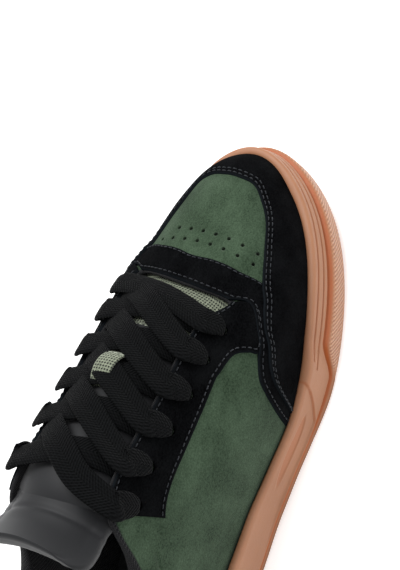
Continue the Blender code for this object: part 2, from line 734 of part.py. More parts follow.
def throat_edges(along):
    """The throat's edge, along from 0 at its front to 1: its two points and their places."""
    along = min(max(along, 0.0), 1.0)
    front = STATIONS["throat_corner_lat"]
    reach = front - STATIONS["eyestay_top_lat"]
    lateral = ring_place(front - reach * along)
    medial = ring_place(len(SECTIONS) - front + reach * along)
    return (lateral, medial), wall_face(lateral, np.asarray(1.0)), wall_face(medial, np.asarray(1.0))


def throat_frame(along):
    """Middle, half width, upward direction and crown of the throat's bridge."""
    _, lateral, medial = throat_edges(along)
    middle = (lateral + medial) / 2
    half = (medial - lateral) / 2
    step = .02
    start = min(max(along, 0.0), 1.0)
    ahead = [(sum(throat_edges(start + shift)[1:]) / 2) for shift in (-step, step)]
    back = ahead[1] - ahead[0]
    back = back / np.linalg.norm(back)
    if along < 0.0:
        back = np.array([-.90, 0.0, .44])
        middle = middle + back * TONGUE_TUCK * along
    if along > 1.0:
        bend = np.radians(28.0 + 14.0 * min(along - 1.0, 1.0))
        back = np.array([-np.cos(bend), 0.0, np.sin(bend)])
        middle = middle + back * TONGUE_RISE * (along - 1.0)
    upward = np.cross(back, half)
    upward = upward / np.linalg.norm(upward)
    upward = upward * np.sign(upward[2])
    crown = THROAT_WIDTH * float(.14 + .12 * smooth_step(along, 0, .75) - .05 * smooth_step(along, 1, 1.6))
    return middle, half, upward, crown


def bridge_point(along, across, lift):
    """Point on the crowned bridge over the throat, across from -1 to 1 at its edges."""
    middle, half, upward, crown = throat_frame(along)
    return middle + half * across + upward * (crown * (1 - across**2) + lift)


def bridge_normal(along, across):
    """Direction square to the crowned bridge."""
    _, half, upward, crown = throat_frame(along)
    normal = upward + half * 2 * crown * across / np.dot(half, half)
    return normal / np.linalg.norm(normal)


def tongue_top(along, across):
    """Top of the tongue: under the throat's bridge, and tucked under the eyestay."""
    sunk = UPPER_WALL + TONGUE_CLEARANCE * (1 + float(smooth_step(abs(across), .55, 1.0)))
    free = bridge_point(along, across, -sunk)
    if abs(across) <= 1.0:
        return free
    (lateral, medial), _, _ = throat_edges(along)
    place = lateral if across < 0 else medial
    share = 1.0 - (abs(across) - 1.0) * .40
    tucked = upper_face(place, share, -sunk)
    held = float(smooth_step(along, -.10, .10) * (1 - smooth_step(along, .98, 1.12)))
    return free + (tucked - free) * held


def build_tongue(collection):
    sections = []
    points_across = 10
    for row in TONGUE_SECTIONS:
        _, _, upward, _ = throat_frame(row.place)
        across = np.linspace(-row.reach, row.reach, points_across)
        top = [tongue_top(row.place, value) for value in across]
        depth = [
            TONGUE_THICKNESS * row.thick * (1.0 - .72 * abs(value / row.reach)**3)
            for value in across]
        bottom = [point - upward * thick for point, thick in zip(top, depth)]
        sections.append([tuple(point) for point in [*top, *reversed(bottom)]])
    return loft_open("tongue", sections, collection)


def strap_section(centre, along, upward, width, thickness):
    """Flat lace's cross-section with rounded edges, square to its path."""
    side = np.cross(along, upward)
    side = side / np.linalg.norm(side)
    lift = np.cross(side, along)
    half = width / 2
    shape = [
        (half, 0.0), (half * .76, .50), (-half * .76, .50),
        (-half, 0.0), (-half * .76, -.50), (half * .76, -.50)]
    return [tuple(centre + side * across + lift * thickness * high) for across, high in shape]


def smooth_path(points, divisions):
    """Points along a smooth curve through the given points."""
    points = np.array(points)
    padded = np.vstack([2 * points[0] - points[1], points, 2 * points[-1] - points[-2]])
    path = []
    for index in range(1, len(padded) - 2):
        a, b, c, d = padded[index - 1:index + 3]
        for share in np.arange(divisions) / divisions:
            path.append(.5 * (2 * b + (c - a) * share + (2 * a - 5 * b + 4 * c - d) * share**2
                              + (3 * b - a - 3 * c + d) * share**3))
    path.append(points[-1])
    return np.array(path)


def build_strap(name, stops, collection):
    """A lace strap swept along its stops, each a point and the direction it lies on."""
    path = smooth_path([point for point, _ in stops], LACE_DIVISIONS)
    upward = smooth_path([normal for _, normal in stops], LACE_DIVISIONS)
    direction = np.gradient(path, axis=0)
    direction = direction / np.linalg.norm(direction, axis=1, keepdims=True)
    sections = []
    for index, point in enumerate(path):
        at_end = index in (0, len(path) - 1)
        width = LACE_WIDTH * (.72 if at_end else 1.0)
        sections.append(
            strap_section(point, direction[index], upward[index], width, LACE_THICKNESS))
    return loft_open(name, sections, collection)


def row_along(row, side):
    """Place of an eyelet along the throat, further forward on the inner side."""
    front = STATIONS["throat_corner_lat"]
    reach = front - STATIONS["eyestay_top_lat"]
    shift = MEDIAL_ROW_SHIFT if side > 0 else 0.0
    return (front - FIRST_ROW_STATION + ROW_SPACING * row - shift) / reach


def over_eyelet(row, side):
    """Lace's stops over the eyestay's edge: edge, eyelet, folded end."""
    lateral, medial = eyelet_stations()
    place = np.asarray(ring_place(lateral[row] if side < 0 else medial[row]))
    resting = FIT_GAP * 2 + OVERLAY_THICKNESS + LACE_THICKNESS / 2
    stops = [(.980, .0012), (EYELET_SHARE, .0002), (EYELET_SHARE - .055, .0002)]
    return [
        (upper_face(place, share, resting + spare), face_normal(place, np.asarray(share)))
        for share, spare in stops]


def bridge_stop(along, across, lift):
    """Lace's stop over the tongue."""
    return bridge_point(along, across, lift), bridge_normal(along, across)


def crossing_stops(row, side, layer):
    """A strap from under the eyestay on one side, over the tongue, to the next eyelet."""
    start = row_along(row, side)
    step = row_along(row + 1, -side) - start
    high = LACE_REST + (LACE_THICKNESS - LACE_SINK) * layer
    return [
        bridge_stop(start + .04 * step, side * .84, LACE_REST + .0022),
        bridge_stop(start + .22 * step, side * .50, LACE_REST + .0010 + .0008 * layer),
        bridge_stop(start + .50 * step, 0.0, high + .0004),
        bridge_stop(start + .80 * step, -side * .60, high + .0012),
        *over_eyelet(row + 1, -side),
    ]


def build_laces(collection, helpers):
    """The straight bar at the front and the crossings behind it, joined into one."""
    start = row_along(0, -1)
    step = row_along(0, 1) - start
    bar_stops = [
        *reversed(over_eyelet(0, -1)),
        bridge_stop(start + .22 * step, -.55, LACE_REST + .0032),
        bridge_stop(start + .50 * step, 0.0, LACE_REST + .0022),
        bridge_stop(start + .78 * step, .55, LACE_REST + .0032),
        *over_eyelet(0, 1),
    ]
    laces = build_strap("laces", bar_stops, collection)
    straps = bpy.data.collections.new("lace_straps")
    helpers.children.link(straps)
    for row in range(EYELET_ROWS - 1):
        for side, layer in ((-1, 0), (1, 1)):
            strap = build_strap("strap_%d_%d" % (row, layer), crossing_stops(row, side, layer), straps)
            hide_helper(strap)
    add_boolean(laces, "UNION", straps)
    return laces


def sole_centre():
    """Middle of the sole's outline, which becomes the origin."""
    columns = np.array([sole_column(place) for place in RING])
    low = columns.reshape(-1, 3).min(axis=0)
    high = columns.reshape(-1, 3).max(axis=0)
    return Vector(((low[0] + high[0]) / 2, (low[1] + high[1]) / 2, 0.0))


def main():
    for obj in list(bpy.data.objects):
        bpy.data.objects.remove(obj, do_unlink=True)
    shoe = bpy.data.collections.new("skateboarding_shoe_right")
    cutters = bpy.data.collections.new("cutters")
    bpy.context.scene.collection.children.link(shoe)
    bpy.context.scene.collection.children.link(cutters)

    sole = build_cupsole(shoe, cutters)
    upper = build_upper(shoe)
    eyestay = build_eyestay(shoe)
    guard = build_toe_guard(shoe)
    counter = build_heel_counter(shoe)
    tongue = build_tongue(shoe)
    insole = build_insole(shoe)
    laces = build_laces(shoe, cutters)

    holes = eyelet_cutter(cutters)
    hide_helper(holes)
    add_boolean(upper, "DIFFERENCE", holes)
    add_boolean(eyestay, "DIFFERENCE", holes)

    add_material(sole, "gum_rubber")
    add_material(upper, "green_suede")
    add_material(eyestay, "black_suede")
    add_material(guard, "black_suede")
    add_material(counter, "black_suede")
    add_material(tongue, "sage_mesh")
    add_material(insole, "black_foam")
    add_material(laces, "black_lace")

    shift = Matrix.Translation(-sole_centre())
    for obj in bpy.data.objects:
        if obj.type == "MESH":
            obj.matrix_world = shift @ obj.matrix_world


main()
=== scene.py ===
"""The finish of a right low-top skateboarding shoe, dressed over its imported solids.

Lengths are in metres with +Z up. The toe points along +X and the outer side of the
foot is -Y. The shoe's form is a ring of named sections round its outline. A place runs
from 0 to 1 round the ring, and a share from 0 at the foot of the upper's wall to 1 at
its top edge. Panels, seams, holes and laces are all laid out in places and shares.
"""
from collections import namedtuple

import bmesh
import bpy
import numpy as np
from mathutils import Matrix, Vector


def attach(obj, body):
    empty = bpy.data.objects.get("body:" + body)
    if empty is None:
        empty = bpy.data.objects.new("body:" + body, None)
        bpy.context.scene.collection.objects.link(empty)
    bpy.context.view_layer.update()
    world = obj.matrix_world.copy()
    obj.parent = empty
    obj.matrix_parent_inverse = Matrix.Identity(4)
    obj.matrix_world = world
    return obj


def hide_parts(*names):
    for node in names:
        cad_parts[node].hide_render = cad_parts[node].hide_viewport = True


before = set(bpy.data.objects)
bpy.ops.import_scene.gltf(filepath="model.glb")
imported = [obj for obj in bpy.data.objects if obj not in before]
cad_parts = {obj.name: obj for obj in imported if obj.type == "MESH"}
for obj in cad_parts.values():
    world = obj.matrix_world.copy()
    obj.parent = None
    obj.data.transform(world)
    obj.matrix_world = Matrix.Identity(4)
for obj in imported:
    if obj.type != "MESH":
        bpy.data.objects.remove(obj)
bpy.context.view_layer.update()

# Sizes that the solids have too
SOLE_LENGTH = 0.300
BALL_WIDTH = 0.0985
HEEL_WIDTH = 0.075
SIDEWALL_HEIGHT = 0.030
HEEL_HEIGHT = 0.086
INSTEP_HEIGHT = 0.107
VAMP_HEIGHT = 0.0675
COLLAR_WIDTH = 0.061
THROAT_WIDTH = 0.040
CUP_FLOOR = 0.014
TOE_SPRING = 0.010
HEEL_BEVEL = 0.0025
ARCH_LIFT = 0.0015
BUMPER = 0.0016
HEEL_SWELL = 0.10
HEEL_LEAN = 0.35
BAND_HEIGHT = 0.0130
OUTSOLE_EDGE = 0.0030
BAND_GROOVE_DEPTH = 0.0013
BAND_GROOVE_HEIGHT = 0.0013
RIB_GROOVE_DEPTH = 0.0009
SCOOP_DEPTH = 0.0009
WALL_LEAN = 0.0025
WALL_STEP = 0.0008
TREAD_ROUNDING = 0.0022
LUG_GROOVE_WIDTH = 0.0026
LUG_GROOVE_DEPTH = 0.0018
LUG_PITCH = 0.0125
LUG_MARGIN = 0.013
UPPER_WALL = 0.0020
COLLAR_PAD = 0.0085
FEATHER_INSET = 0.0085
OVERLAY_THICKNESS = 0.0013
OVERLAY_TUCK = 0.0030
FIT_GAP = 0.0003
TONGUE_THICKNESS = 0.0075
TONGUE_RISE = 0.027
TONGUE_TUCK = 0.012
TONGUE_CLEARANCE = 0.0012
EYELET_ROWS = 6
EYELET_DIAMETER = 0.0045
FIRST_ROW_STATION = 7.89
ROW_SPACING = 0.55
EYELET_SHARE = 0.865
MEDIAL_ROW_SHIFT = 0.30
LACE_WIDTH = 0.0120
LACE_THICKNESS = 0.0022
LACE_REST = LACE_THICKNESS / 2 - UPPER_WALL - TONGUE_CLEARANCE + 4 * FIT_GAP
SOLID_COLUMNS = 56

# Stretches along the sole, as shares of its length, over which a form comes in or goes
SPRING_START = 0.70
HEEL_BEVEL_END = 0.055
ARCH_RISE = (0.36, 0.44)
ARCH_FALL = (0.50, 0.58)
FEATHER_FROM = (0.54, 0.72)
BUMPER_FROM = (0.55, 0.64)
TALL_BAND_FROM = (0.655, 0.705)
RECESS_FROM = (0.36, 0.46)
HATCH_FROM = (0.665, 0.680)
TIP_FROM = (0.93, 0.99)
LUG_ROWS = {"ball": (0.60, 6), "heel": (0.10, 4)}

# Shares of the feather line's inset that it keeps at the rear and loses at the tip
REAR_INSET = 0.72
TIP_INSET = 0.17

# How finely the skins are divided
RING_COLUMNS = 420
WALL_ROWS = 64
LINING_ROWS = 30
PANEL_DIVISIONS = 12

# Seams
STITCH_LENGTH = 0.0021
STITCH_GAP = 0.0009
THREAD_RADIUS = 0.00026
SEAM_MARGIN = 0.0018
SEAM_SPACING = 0.0022
DOUBLE_SEAM = (SEAM_MARGIN, SEAM_MARGIN + SEAM_SPACING)
THROAT_SEAM = 0.0022
LEG_SEAM = 0.0028
BAR_SEAM = 0.0025
STRIP_SEAM = 0.0015
SEAM_DEPTH = 0.00022
SEAM_WIDTH = 0.00045
THREAD_RINGS = 5
THREAD_SIDES = 6
VENT_DIAMETER = 0.0018

# A panel's rounded edges, how far in from them the painted highlight reaches, and how far from its edge its
# points lie close together
EDGE_LOSS = 0.75
EDGE_ROUNDING = 0.00028
EDGE_HIGHLIGHT_REACH = 0.00045
LIFT_REACH = 0.004
PANEL_MARGINS = np.array([0.0, .10, .30, .60, 1.1, 1.6, 2.0, 2.4, 3.0, 3.7, 4.2, 4.7, 5.4]) * .001
NARROW_PANEL = 0.0112

WIDTHS = {"heel": HEEL_WIDTH, "ball": BALL_WIDTH}
OPENINGS = {"collar": COLLAR_WIDTH, "throat": THROAT_WIDTH}
HEIGHTS = {"heel": HEEL_HEIGHT, "instep": INSTEP_HEIGHT, "vamp": VAMP_HEIGHT}

# One row for each section, from the heel's back along the outer side, round the toe
# and back along the inner side, in shares of the sizes that wide, gap and high name
Section = namedtuple(
    "Section", "name wide edge_x edge_y gap top_x top_y high top_z wall flare rise lean reach")

SECTIONS = [Section(*row) for row in (
    ("heel_back", "heel", .000, .000, "collar", .050, .000, "heel", 1.00, 1.00, 8, .40, 14, .30),
    ("heel_corner_lat", "heel", .035, -.353, "collar", .077, -.328, "heel", .977, 1.00, 8, .40, 13, .30),
    ("heel_side_lat", "heel", .140, -.500, "collar", .157, -.484, "heel", .895, .967, 7, .40, 12, .30),
    ("ankle_lat", "heel", .240, -.507, "collar", .247, -.508, "heel", .884, .900, 6, .40, 12, .30),
    ("waist_rear_lat", "heel", .327, -.513, "collar", .317, -.484, "instep", .825, .833, 5, .40, 15, .32),
    ("eyestay_top_lat", "ball", .393, -.411, "throat", .370, -.600, "instep", 1.00, .783, 5, .42, 24, .35),
    ("eyestay_lat", "ball", .483, -.452, "throat", .473, -.488, "instep", .916, .685, 5, .45, 38, .36),
    ("instep_lat", "ball", .573, -.492, "throat", .580, -.475, "instep", .788, .665, 5, .50, 48, .38),
    ("throat_side_lat", "ball", .667, -.508, "throat", .673, -.500, "vamp", 1.052, .745, 5, .52, 56, .42),
    ("throat_corner_lat", "ball", .740, -.487, "throat", .706, -.630, "vamp", .926, .820, 5, .55, 60, .46),
    ("toe_side_lat", "ball", .827, -.431, "throat", .718, -.375, "vamp", .963, .833, 5, .58, 70, .50),
    ("toe_corner_lat", "ball", .933, -.274, "throat", .724, -.125, "vamp", .993, .833, 5, .60, 73, .52),
    ("toe_tip", "ball", .996, .030, "throat", .728, .050, "vamp", 1.00, .833, 5, .62, 73, .52),
    ("toe_corner_med", "ball", .960, .274, "throat", .732, .200, "vamp", .993, .833, 5, .60, 73, .52),
    ("toe_side_med", "ball", .877, .406, "throat", .737, .425, "vamp", .963, .833, 5, .58, 70, .50),
    ("throat_corner_med", "ball", .780, .467, "throat", .736, .688, "vamp", .911, .820, 5, .55, 62, .46),
    ("throat_side_med", "ball", .687, .467, "throat", .690, .650, "vamp", 1.052, .745, 5, .52, 56, .42),
    ("instep_med", "ball", .587, .426, "throat", .585, .613, "instep", .797, .665, 5, .50, 48, .38),
    ("eyestay_med", "ball", .493, .376, "throat", .480, .600, "instep", .925, .685, 5, .45, 38, .36),
    ("eyestay_top_med", "ball", .400, .350, "throat", .370, .660, "instep", 1.012, .783, 5, .42, 24, .35),
    ("waist_rear_med", "heel", .323, .460, "collar", .317, .492, "instep", .843, .833, 5, .40, 15, .32),
    ("ankle_med", "heel", .240, .480, "collar", .247, .508, "heel", .919, .900, 6, .40, 12, .30),
    ("heel_side_med", "heel", .140, .487, "collar", .157, .484, "heel", .919, .967, 7, .40, 12, .30),
    ("heel_corner_med", "heel", .037, .347, "collar", .077, .328, "heel", .983, 1.00, 8, .40, 13, .30),
)]
STATIONS = {section.name: index for index, section in enumerate(SECTIONS)}
COUNT = len(SECTIONS)
THROAT_FRONT = STATIONS["throat_corner_lat"]
THROAT_TOP = STATIONS["eyestay_top_lat"]

# Edges of the panels: the station round the ring and the share of the wall's height
TOE_GUARD_EDGE = [
    (7.08, .02), (7.17, .10), (7.28, .205), (7.42, .320), (7.60, .405), (7.80, .470),
    (8.02, .538), (8.30, .628), (8.62, .712), (8.92, .746), (9.22, .750), (9.60, .684),
    (10.06, .590), (10.67, .476), (11.04, .438), (11.33, .42), (11.66, .448), (12.08, .457),
    (12.61, .438), (12.89, .45), (13.13, .52), (13.80, .64), (14.40, .720), (14.80, .735),
    (15.10, .744), (15.38, .712), (15.70, .628), (15.98, .538), (16.20, .470), (16.40, .405),
    (16.58, .320), (16.72, .205), (16.83, .10), (16.92, .02)]
COUNTER_EDGE = [
    (-2.65, .16), (-2.30, .36), (-1.70, .52), (-.90, .61), (0.0, .64), (.90, .61),
    (1.70, .52), (2.30, .36), (2.65, .16)]

# The eyestay's leg from the ankle to the toe's side, mirrored on the inner side: a
# place on the throat's edge, and the outer edge's station and share
EyestayPair = namedtuple("EyestayPair", "throat station share")
EYESTAY_LEG = [EyestayPair(*row) for row in (
    (5.00, 5.00, .690), (5.60, 5.60, .710), (6.40, 6.40, .735), (7.02, 7.08, .754),
    (7.35, 7.24, .745), (7.75, 7.43, .731), (8.05, 7.56, .715), (8.30, 7.65, .679),
    (8.50, 7.72, .613), (8.64, 7.78, .545), (8.80, 8.10, .600), (8.92, 8.45, .690),
    (9.04, 8.76, .775))]

# The bar over the vamp runs on down both sides of the toe guard as a strip: its rear
# edge's station and share, and its front edge's. The strip is mirrored on the inner side
BarPair = namedtuple("BarPair", "rear rear_share front front_share")
SIDE_STRIP = [BarPair(*row) for row in (
    (6.90, .050, 7.14, .030), (6.97, .133, 7.22, .090), (7.08, .238, 7.30, .170),
    (7.21, .343, 7.42, .260), (7.37, .442, 7.56, .340), (7.63, .517, 7.76, .410),
    (7.91, .590, 8.00, .480), (8.18, .667, 8.25, .560), (8.47, .754, 8.52, .630),
    (8.79, .845, 8.82, .680), (8.97, .897, 9.05, .690), (9.10, .952, 9.22, .695),
    (9.30, 1.00, 9.38, .710), (9.60, 1.00, 9.60, .752))]
VAMP_BAR = [BarPair(*row) for row in (
    (9.90, 1.0, 9.88, .794), (10.26, 1.0, 10.26, .826), (10.80, 1.0, 10.76, .858),
    (11.60, 1.0, 11.67, .892), (12.60, 1.0, 12.64, .879), (13.50, 1.0, 13.62, .840),
    (14.10, 1.0, 14.16, .785))]
STRIP_THICKNESS = 0.0009
STRIP_LIFT = 0.0009
GUARD_LIFT = 0.0011
EYESTAY_TOP = 1.0

# Where the guard lies over the strips and the bar over the legs: the stations between
# which an edge rises and falls again, mirrored on the inner side
GUARD_OVER_STRIP = ((7.08, 7.25), (9.30, 9.60))
BAR_OVER_LEG = ((7.60, 7.80), (9.20, 9.60))

# Where the sole's columns lie close together: the first station of each stretch, how
# many stations it covers and how many columns it has
SCOOP_STARTS = (6.9, COUNT - 8.2)
SCOOP_STATIONS = 1.3
SCOOP_COLUMNS = 130

# The collar's padding: how far from the eyestay it ends and over how many stations it
# fades, the shares of the wall's height over which it grows, and the seam below its roll
COLLAR_MARGIN = 0.40
COLLAR_FADE = 1.40
PADDING_FROM = (0.52, 0.80)
COLLAR_SEAM_SHARE = 0.80
COLLAR_SEAM_WIDTH = 0.012
COLLAR_SEAM_DEPTH = 0.0008
COLLAR_PUFF = 0.0012
COLLAR_LINING_FROM = (0.800, 0.806)
THROAT_LINING_FROM = (0.975, 0.985)

# Rows of vent holes across the toe: their count, x at the bow's middle, its bend, y of
# its middle and of the first hole, and the pitch
VentRow = namedtuple("VentRow", "count x bow middle start pitch")
VENT_ROWS = [
    VentRow(7, .2446, 4.8, .010, .0136, .0067), VentRow(8, .2392, 4.8, .010, .0216, .0069)]

# Ridges and troughs of the leather: each one's height, its middle's station and share of
# the wall, and how far it reaches along and up. They lie at the flex, waist and toe
Crease = namedtuple("Crease", "height station width share spread")
CREASES = [Crease(*row) for row in (
    (.0005, 7.90, .16, .52, .22), (-.0004, 8.25, .14, .52, .22), (.0004, 8.60, .16, .52, .22),
    (-.0006, 5.40, .50, .45, .20), (.0003, 10.9, .50, .72, .12))]

# The tongue along the throat: place is 0 at the throat's front and 1 at the top of the
# eyestay, reach is its half width over the throat's, thick a share of its thickness
TongueSection = namedtuple("TongueSection", "place reach thick")
TONGUE_SECTIONS = [TongueSection(*row) for row in (
    (-.90, .62, .30), (-.45, .84, .45), (0.0, 1.10, .62), (.15, 1.22, .74), (.30, 1.28, .84),
    (.45, 1.30, .92), (.60, 1.28, 1.0), (.75, 1.22, 1.0), (.88, 1.13, 1.0), (1.0, 1.04, 1.0),
    (1.25, 1.00, 1.10), (1.55, 1.06, 1.25), (1.80, 1.08, 1.25), (1.94, 1.00, .95),
    (2.0, .90, .40))]
TONGUE_FRONT_RUN = (-.90, 0.0, .44)
TONGUE_BEND = (28.0, 14.0)

# Where the tongue's mesh ends, and the tab that holds the lace, along the throat
MESH_END = 0.365
KEEPER_START = 0.495
KEEPER_END = 0.630
KEEPER_REACH = 0.215
KEEPER_THICKNESS = 0.0009


def smooth_step(value, start, end):
    """Rise from 0 at start to 1 at end with level ends."""
    share = np.clip((np.asarray(value, float) - start) / (end - start), 0.0, 1.0)
    return share * share * (3.0 - 2.0 * share)


def hump(value, centre, width):
    """A soft bump of height 1 at the centre."""
    return np.exp(-((np.asarray(value, float) - centre) / width)**2)


def closed_spline(knots, values):
    """Return a smooth periodic function of period 1 through the values at the knots."""
    count = len(knots)
    grid = np.append(knots, knots[0] + 1.0)
    level = np.append(values, values[0])
    step = np.diff(grid)
    slope = np.diff(level) / step
    system = np.zeros((count, count))
    for index in range(count):
        system[index, index - 1] += step[index - 1]
        system[index, index] += 2.0 * (step[index - 1] + step[index])
        system[index, (index + 1) % count] += step[index]
    bend = np.linalg.solve(system, 6.0 * (slope - np.roll(slope, 1)))
    bend = np.append(bend, bend[0])

    def value_at(place):
        place = (np.asarray(place, float) - grid[0]) % 1.0 + grid[0]
        cell = np.clip(np.searchsorted(grid, place, side="right") - 1, 0, count - 1)
        before = (grid[cell + 1] - place) / step[cell]
        after = (place - grid[cell]) / step[cell]
        curve = (before**3 - before) * bend[cell] + (after**3 - after) * bend[cell + 1]
        return before * level[cell] + after * level[cell + 1] + curve * step[cell]**2 / 6.0

    return value_at


def section_sizes():
    """Turn the section table's shares into metres, one array for each column."""
    return {
        "edge_x": np.array([row.edge_x * SOLE_LENGTH for row in SECTIONS]),
        "edge_y": np.array([row.edge_y * WIDTHS[row.wide] for row in SECTIONS]),
        "top_x": np.array([row.top_x * SOLE_LENGTH for row in SECTIONS]),
        "top_y": np.array([row.top_y * OPENINGS[row.gap] for row in SECTIONS]),
        "top_z": np.array([row.top_z * HEIGHTS[row.high] for row in SECTIONS]),
        "wall": np.array([row.wall * SIDEWALL_HEIGHT for row in SECTIONS]),
        "flare": np.radians([row.flare for row in SECTIONS]),
        "rise": np.array([row.rise for row in SECTIONS]),
        "lean": np.radians([row.lean for row in SECTIONS]),
        "reach": np.array([row.reach for row in SECTIONS]),
    }


SIZES = section_sizes()
CHORDS = np.hypot(
    np.roll(SIZES["edge_x"], -1) - SIZES["edge_x"],
    np.roll(SIZES["edge_y"], -1) - SIZES["edge_y"])
KNOTS = np.concatenate([[0.0], np.cumsum(CHORDS)[:-1]]) / CHORDS.sum()
CURVES = {name: closed_spline(KNOTS, values) for name, values in SIZES.items()}


def ring_place(station):
    """Turn a station number into a place round the ring, 1 for the whole way round."""
    station = np.asarray(station, float)
    turns = np.floor(station / COUNT)
    return turns + np.interp(station - turns * COUNT, np.arange(COUNT + 1), np.append(KNOTS, 1.0))


def station_of(place):
    """Turn a place round the ring into a station number, below 0 behind the heel."""
    place = np.asarray(place, float)
    turns = np.floor(place)
    return turns * COUNT + np.interp(place - turns, np.append(KNOTS, 1.0), np.arange(COUNT + 1))


def tread_height(x):
    """Height of the tread above the ground: toe spring, arch and the heel's bevel."""
    share = np.asarray(x, float) / SOLE_LENGTH
    spring = TOE_SPRING * np.clip((share - SPRING_START) / (1 - SPRING_START), 0.0, None)**2
    bevel = HEEL_BEVEL * np.clip((HEEL_BEVEL_END - share) / HEEL_BEVEL_END, 0.0, None)**2
    arch = ARCH_LIFT * smooth_step(share, *ARCH_RISE) * (1.0 - smooth_step(share, *ARCH_FALL))
    return spring + bevel + arch


def outline(place):
    """Return x, y and the outward normal of the sole's edge, seen from above."""
    step = 1e-4
    x = CURVES["edge_x"](place)
    y = CURVES["edge_y"](place)
    along_x = CURVES["edge_x"](place + step) - CURVES["edge_x"](place - step)
    along_y = CURVES["edge_y"](place + step) - CURVES["edge_y"](place - step)
    length = np.hypot(along_x, along_y)
    return x, y, along_y / length, -along_x / length


def wall_face(place, share):
    """Point on the upper's outer face, share 0 at its foot and 1 at its top edge."""
    x, y, out_x, out_y = outline(place)
    forward = x / SOLE_LENGTH
    inset = FEATHER_INSET * (
        REAR_INSET + (1 - REAR_INSET) * smooth_step(forward, *FEATHER_FROM)
        - TIP_INSET * smooth_step(forward, *TIP_FROM))
    foot_x = x - inset * out_x
    foot_y = y - inset * out_y
    foot_z = tread_height(foot_x) + CUP_FLOOR
    top_x = CURVES["top_x"](place)
    top_y = CURVES["top_y"](place)
    top_z = CURVES["top_z"](place)
    across = np.hypot(foot_x - top_x, foot_y - top_y)
    away_x = (foot_x - top_x) / across
    away_y = (foot_y - top_y) / across
    height = top_z - foot_z
    rise = CURVES["rise"](place) * height
    reach = CURVES["reach"](place) * np.hypot(across, height)
    flare = CURVES["flare"](place)
    lean = CURVES["lean"](place)
    corners = [
        (foot_x, foot_y, foot_z),
        (foot_x + out_x * rise * np.sin(flare), foot_y + out_y * rise * np.sin(flare),
         foot_z + rise * np.cos(flare)),
        (top_x + away_x * reach * np.sin(lean), top_y + away_y * reach * np.sin(lean),
         top_z - reach * np.cos(lean)),
        (top_x, top_y, top_z),
    ]
    weights = [(1 - share)**3, 3 * (1 - share)**2 * share, 3 * (1 - share) * share**2, share**3]
    return sum(w[..., None] * np.stack(c, -1) for w, c in zip(weights, corners))


def face_normal(place, share):
    """Outward normal of the upper's outer face."""
    step = 1e-3
    along = wall_face(place + step, share) - wall_face(place - step, share)
    upward = wall_face(place, share + step) - wall_face(place, share - step)
    normal = np.cross(along, upward)
    return normal / np.linalg.norm(normal, axis=-1, keepdims=True)


def upper_face(place, share, out=0.0):
    """Point at a distance outside the upper's outer face."""
    place, share, out = np.broadcast_arrays(
        np.asarray(place, float), np.asarray(share, float), np.asarray(out, float))
    return wall_face(place, share) + face_normal(place, share) * out[..., None]


def share_at_height(place, height):
    """Share of the wall at which the upper's face stands at a height above the tread."""
    low = np.zeros_like(place)
    high = np.full_like(place, .6)
    for _ in range(30):
        middle = (low + high) / 2
        point = wall_face(place, middle)
        below = point[..., 2] - tread_height(point[..., 0]) < height
        low = np.where(below, middle, low)
        high = np.where(below, high, middle)
    return (low + high) / 2


def edge_share(points, station):
    """Share of the wall at a panel's edge, smoothly through the edge's points."""
    knots = np.array([point[0] for point in points])
    level = np.array([point[1] for point in points])
    slope = np.gradient(level, knots)
    cell = np.clip(np.searchsorted(knots, station, side="right") - 1, 0, len(knots) - 2)
    width = knots[cell + 1] - knots[cell]
    place = np.clip((station - knots[cell]) / width, 0.0, 1.0)
    rise = level[cell + 1] - level[cell]
    start = slope[cell] * width
    end = slope[cell + 1] * width
    return level[cell] + place * (start + place * (
        (3 * rise - 2 * start - end) + place * (start + end - 2 * rise)))


def smooth_path(points, divisions):
    """Rows along a smooth curve through the given rows of numbers."""
    points = np.array(points, float)
    padded = np.vstack([2 * points[0] - points[1], points, 2 * points[-1] - points[-2]])
    path = []
    for index in range(1, len(padded) - 2):
        a, b, c, d = padded[index - 1:index + 3]
        for share in np.arange(divisions) / divisions:
            path.append(.5 * (2 * b + (c - a) * share + (2 * a - 5 * b + 4 * c - d) * share**2
                              + (3 * b - a - 3 * c + d) * share**3))
    path.append(points[-1])
    return np.array(path)


def length_along(points):
    """Distance along rows of points, from 0 at the first."""
    steps = np.linalg.norm(np.diff(points, axis=0), axis=-1)
    return np.concatenate([[0.0], np.cumsum(steps)])


def sole_centre():
    """Middle of the sole's outline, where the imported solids' frame starts."""
    places = np.arange(SOLID_COLUMNS) / SOLID_COLUMNS
    x, y, out_x, out_y = outline(places)
    swell = bumper_swell(x)
    rim_x = x + out_x * swell
    rim_y = y + out_y * swell
    return np.array([(rim_x.min() + rim_x.max()) / 2, (rim_y.min() + rim_y.max()) / 2, 0.0])


def bumper_swell(x):
    """How far the sole's lower band stands out, more round the toe."""
    return BUMPER * (HEEL_SWELL + (1 - HEEL_SWELL) * smooth_step(x / SOLE_LENGTH, *BUMPER_FROM))


CENTRE = sole_centre()


# Meshes
def fill_mesh(name, points, faces, corners=None, marks=None):
    """Make a closed mesh object with outward faces, its UV map and its point marks."""
    mesh = bpy.data.meshes.new(name)
    mesh.from_pydata((points - CENTRE).tolist(), [], faces)
    if corners is not None:
        layer = mesh.uv_layers.new(name="UVMap")
        layer.data.foreach_set("uv", np.asarray(corners, np.float32).ravel())
    for key, values in (marks or {}).items():
        attribute = mesh.attributes.new(key, "FLOAT", "POINT")
        attribute.data.foreach_set("value", np.asarray(values, np.float32).ravel())
    mesh.calc_loop_triangles()
    triangles = np.empty(len(mesh.loop_triangles) * 3, np.int32)
    mesh.loop_triangles.foreach_get("vertices", triangles)
    a, b, c = np.moveaxis((points - CENTRE)[triangles.reshape(-1, 3)], 1, 0)
    if np.einsum("ij,ij->i", a, np.cross(b, c)).sum() < 0:
        mesh.flip_normals()
    mesh.shade_smooth()
    obj = bpy.data.objects.new(name, mesh)
    bpy.context.scene.collection.objects.link(obj)
    return obj


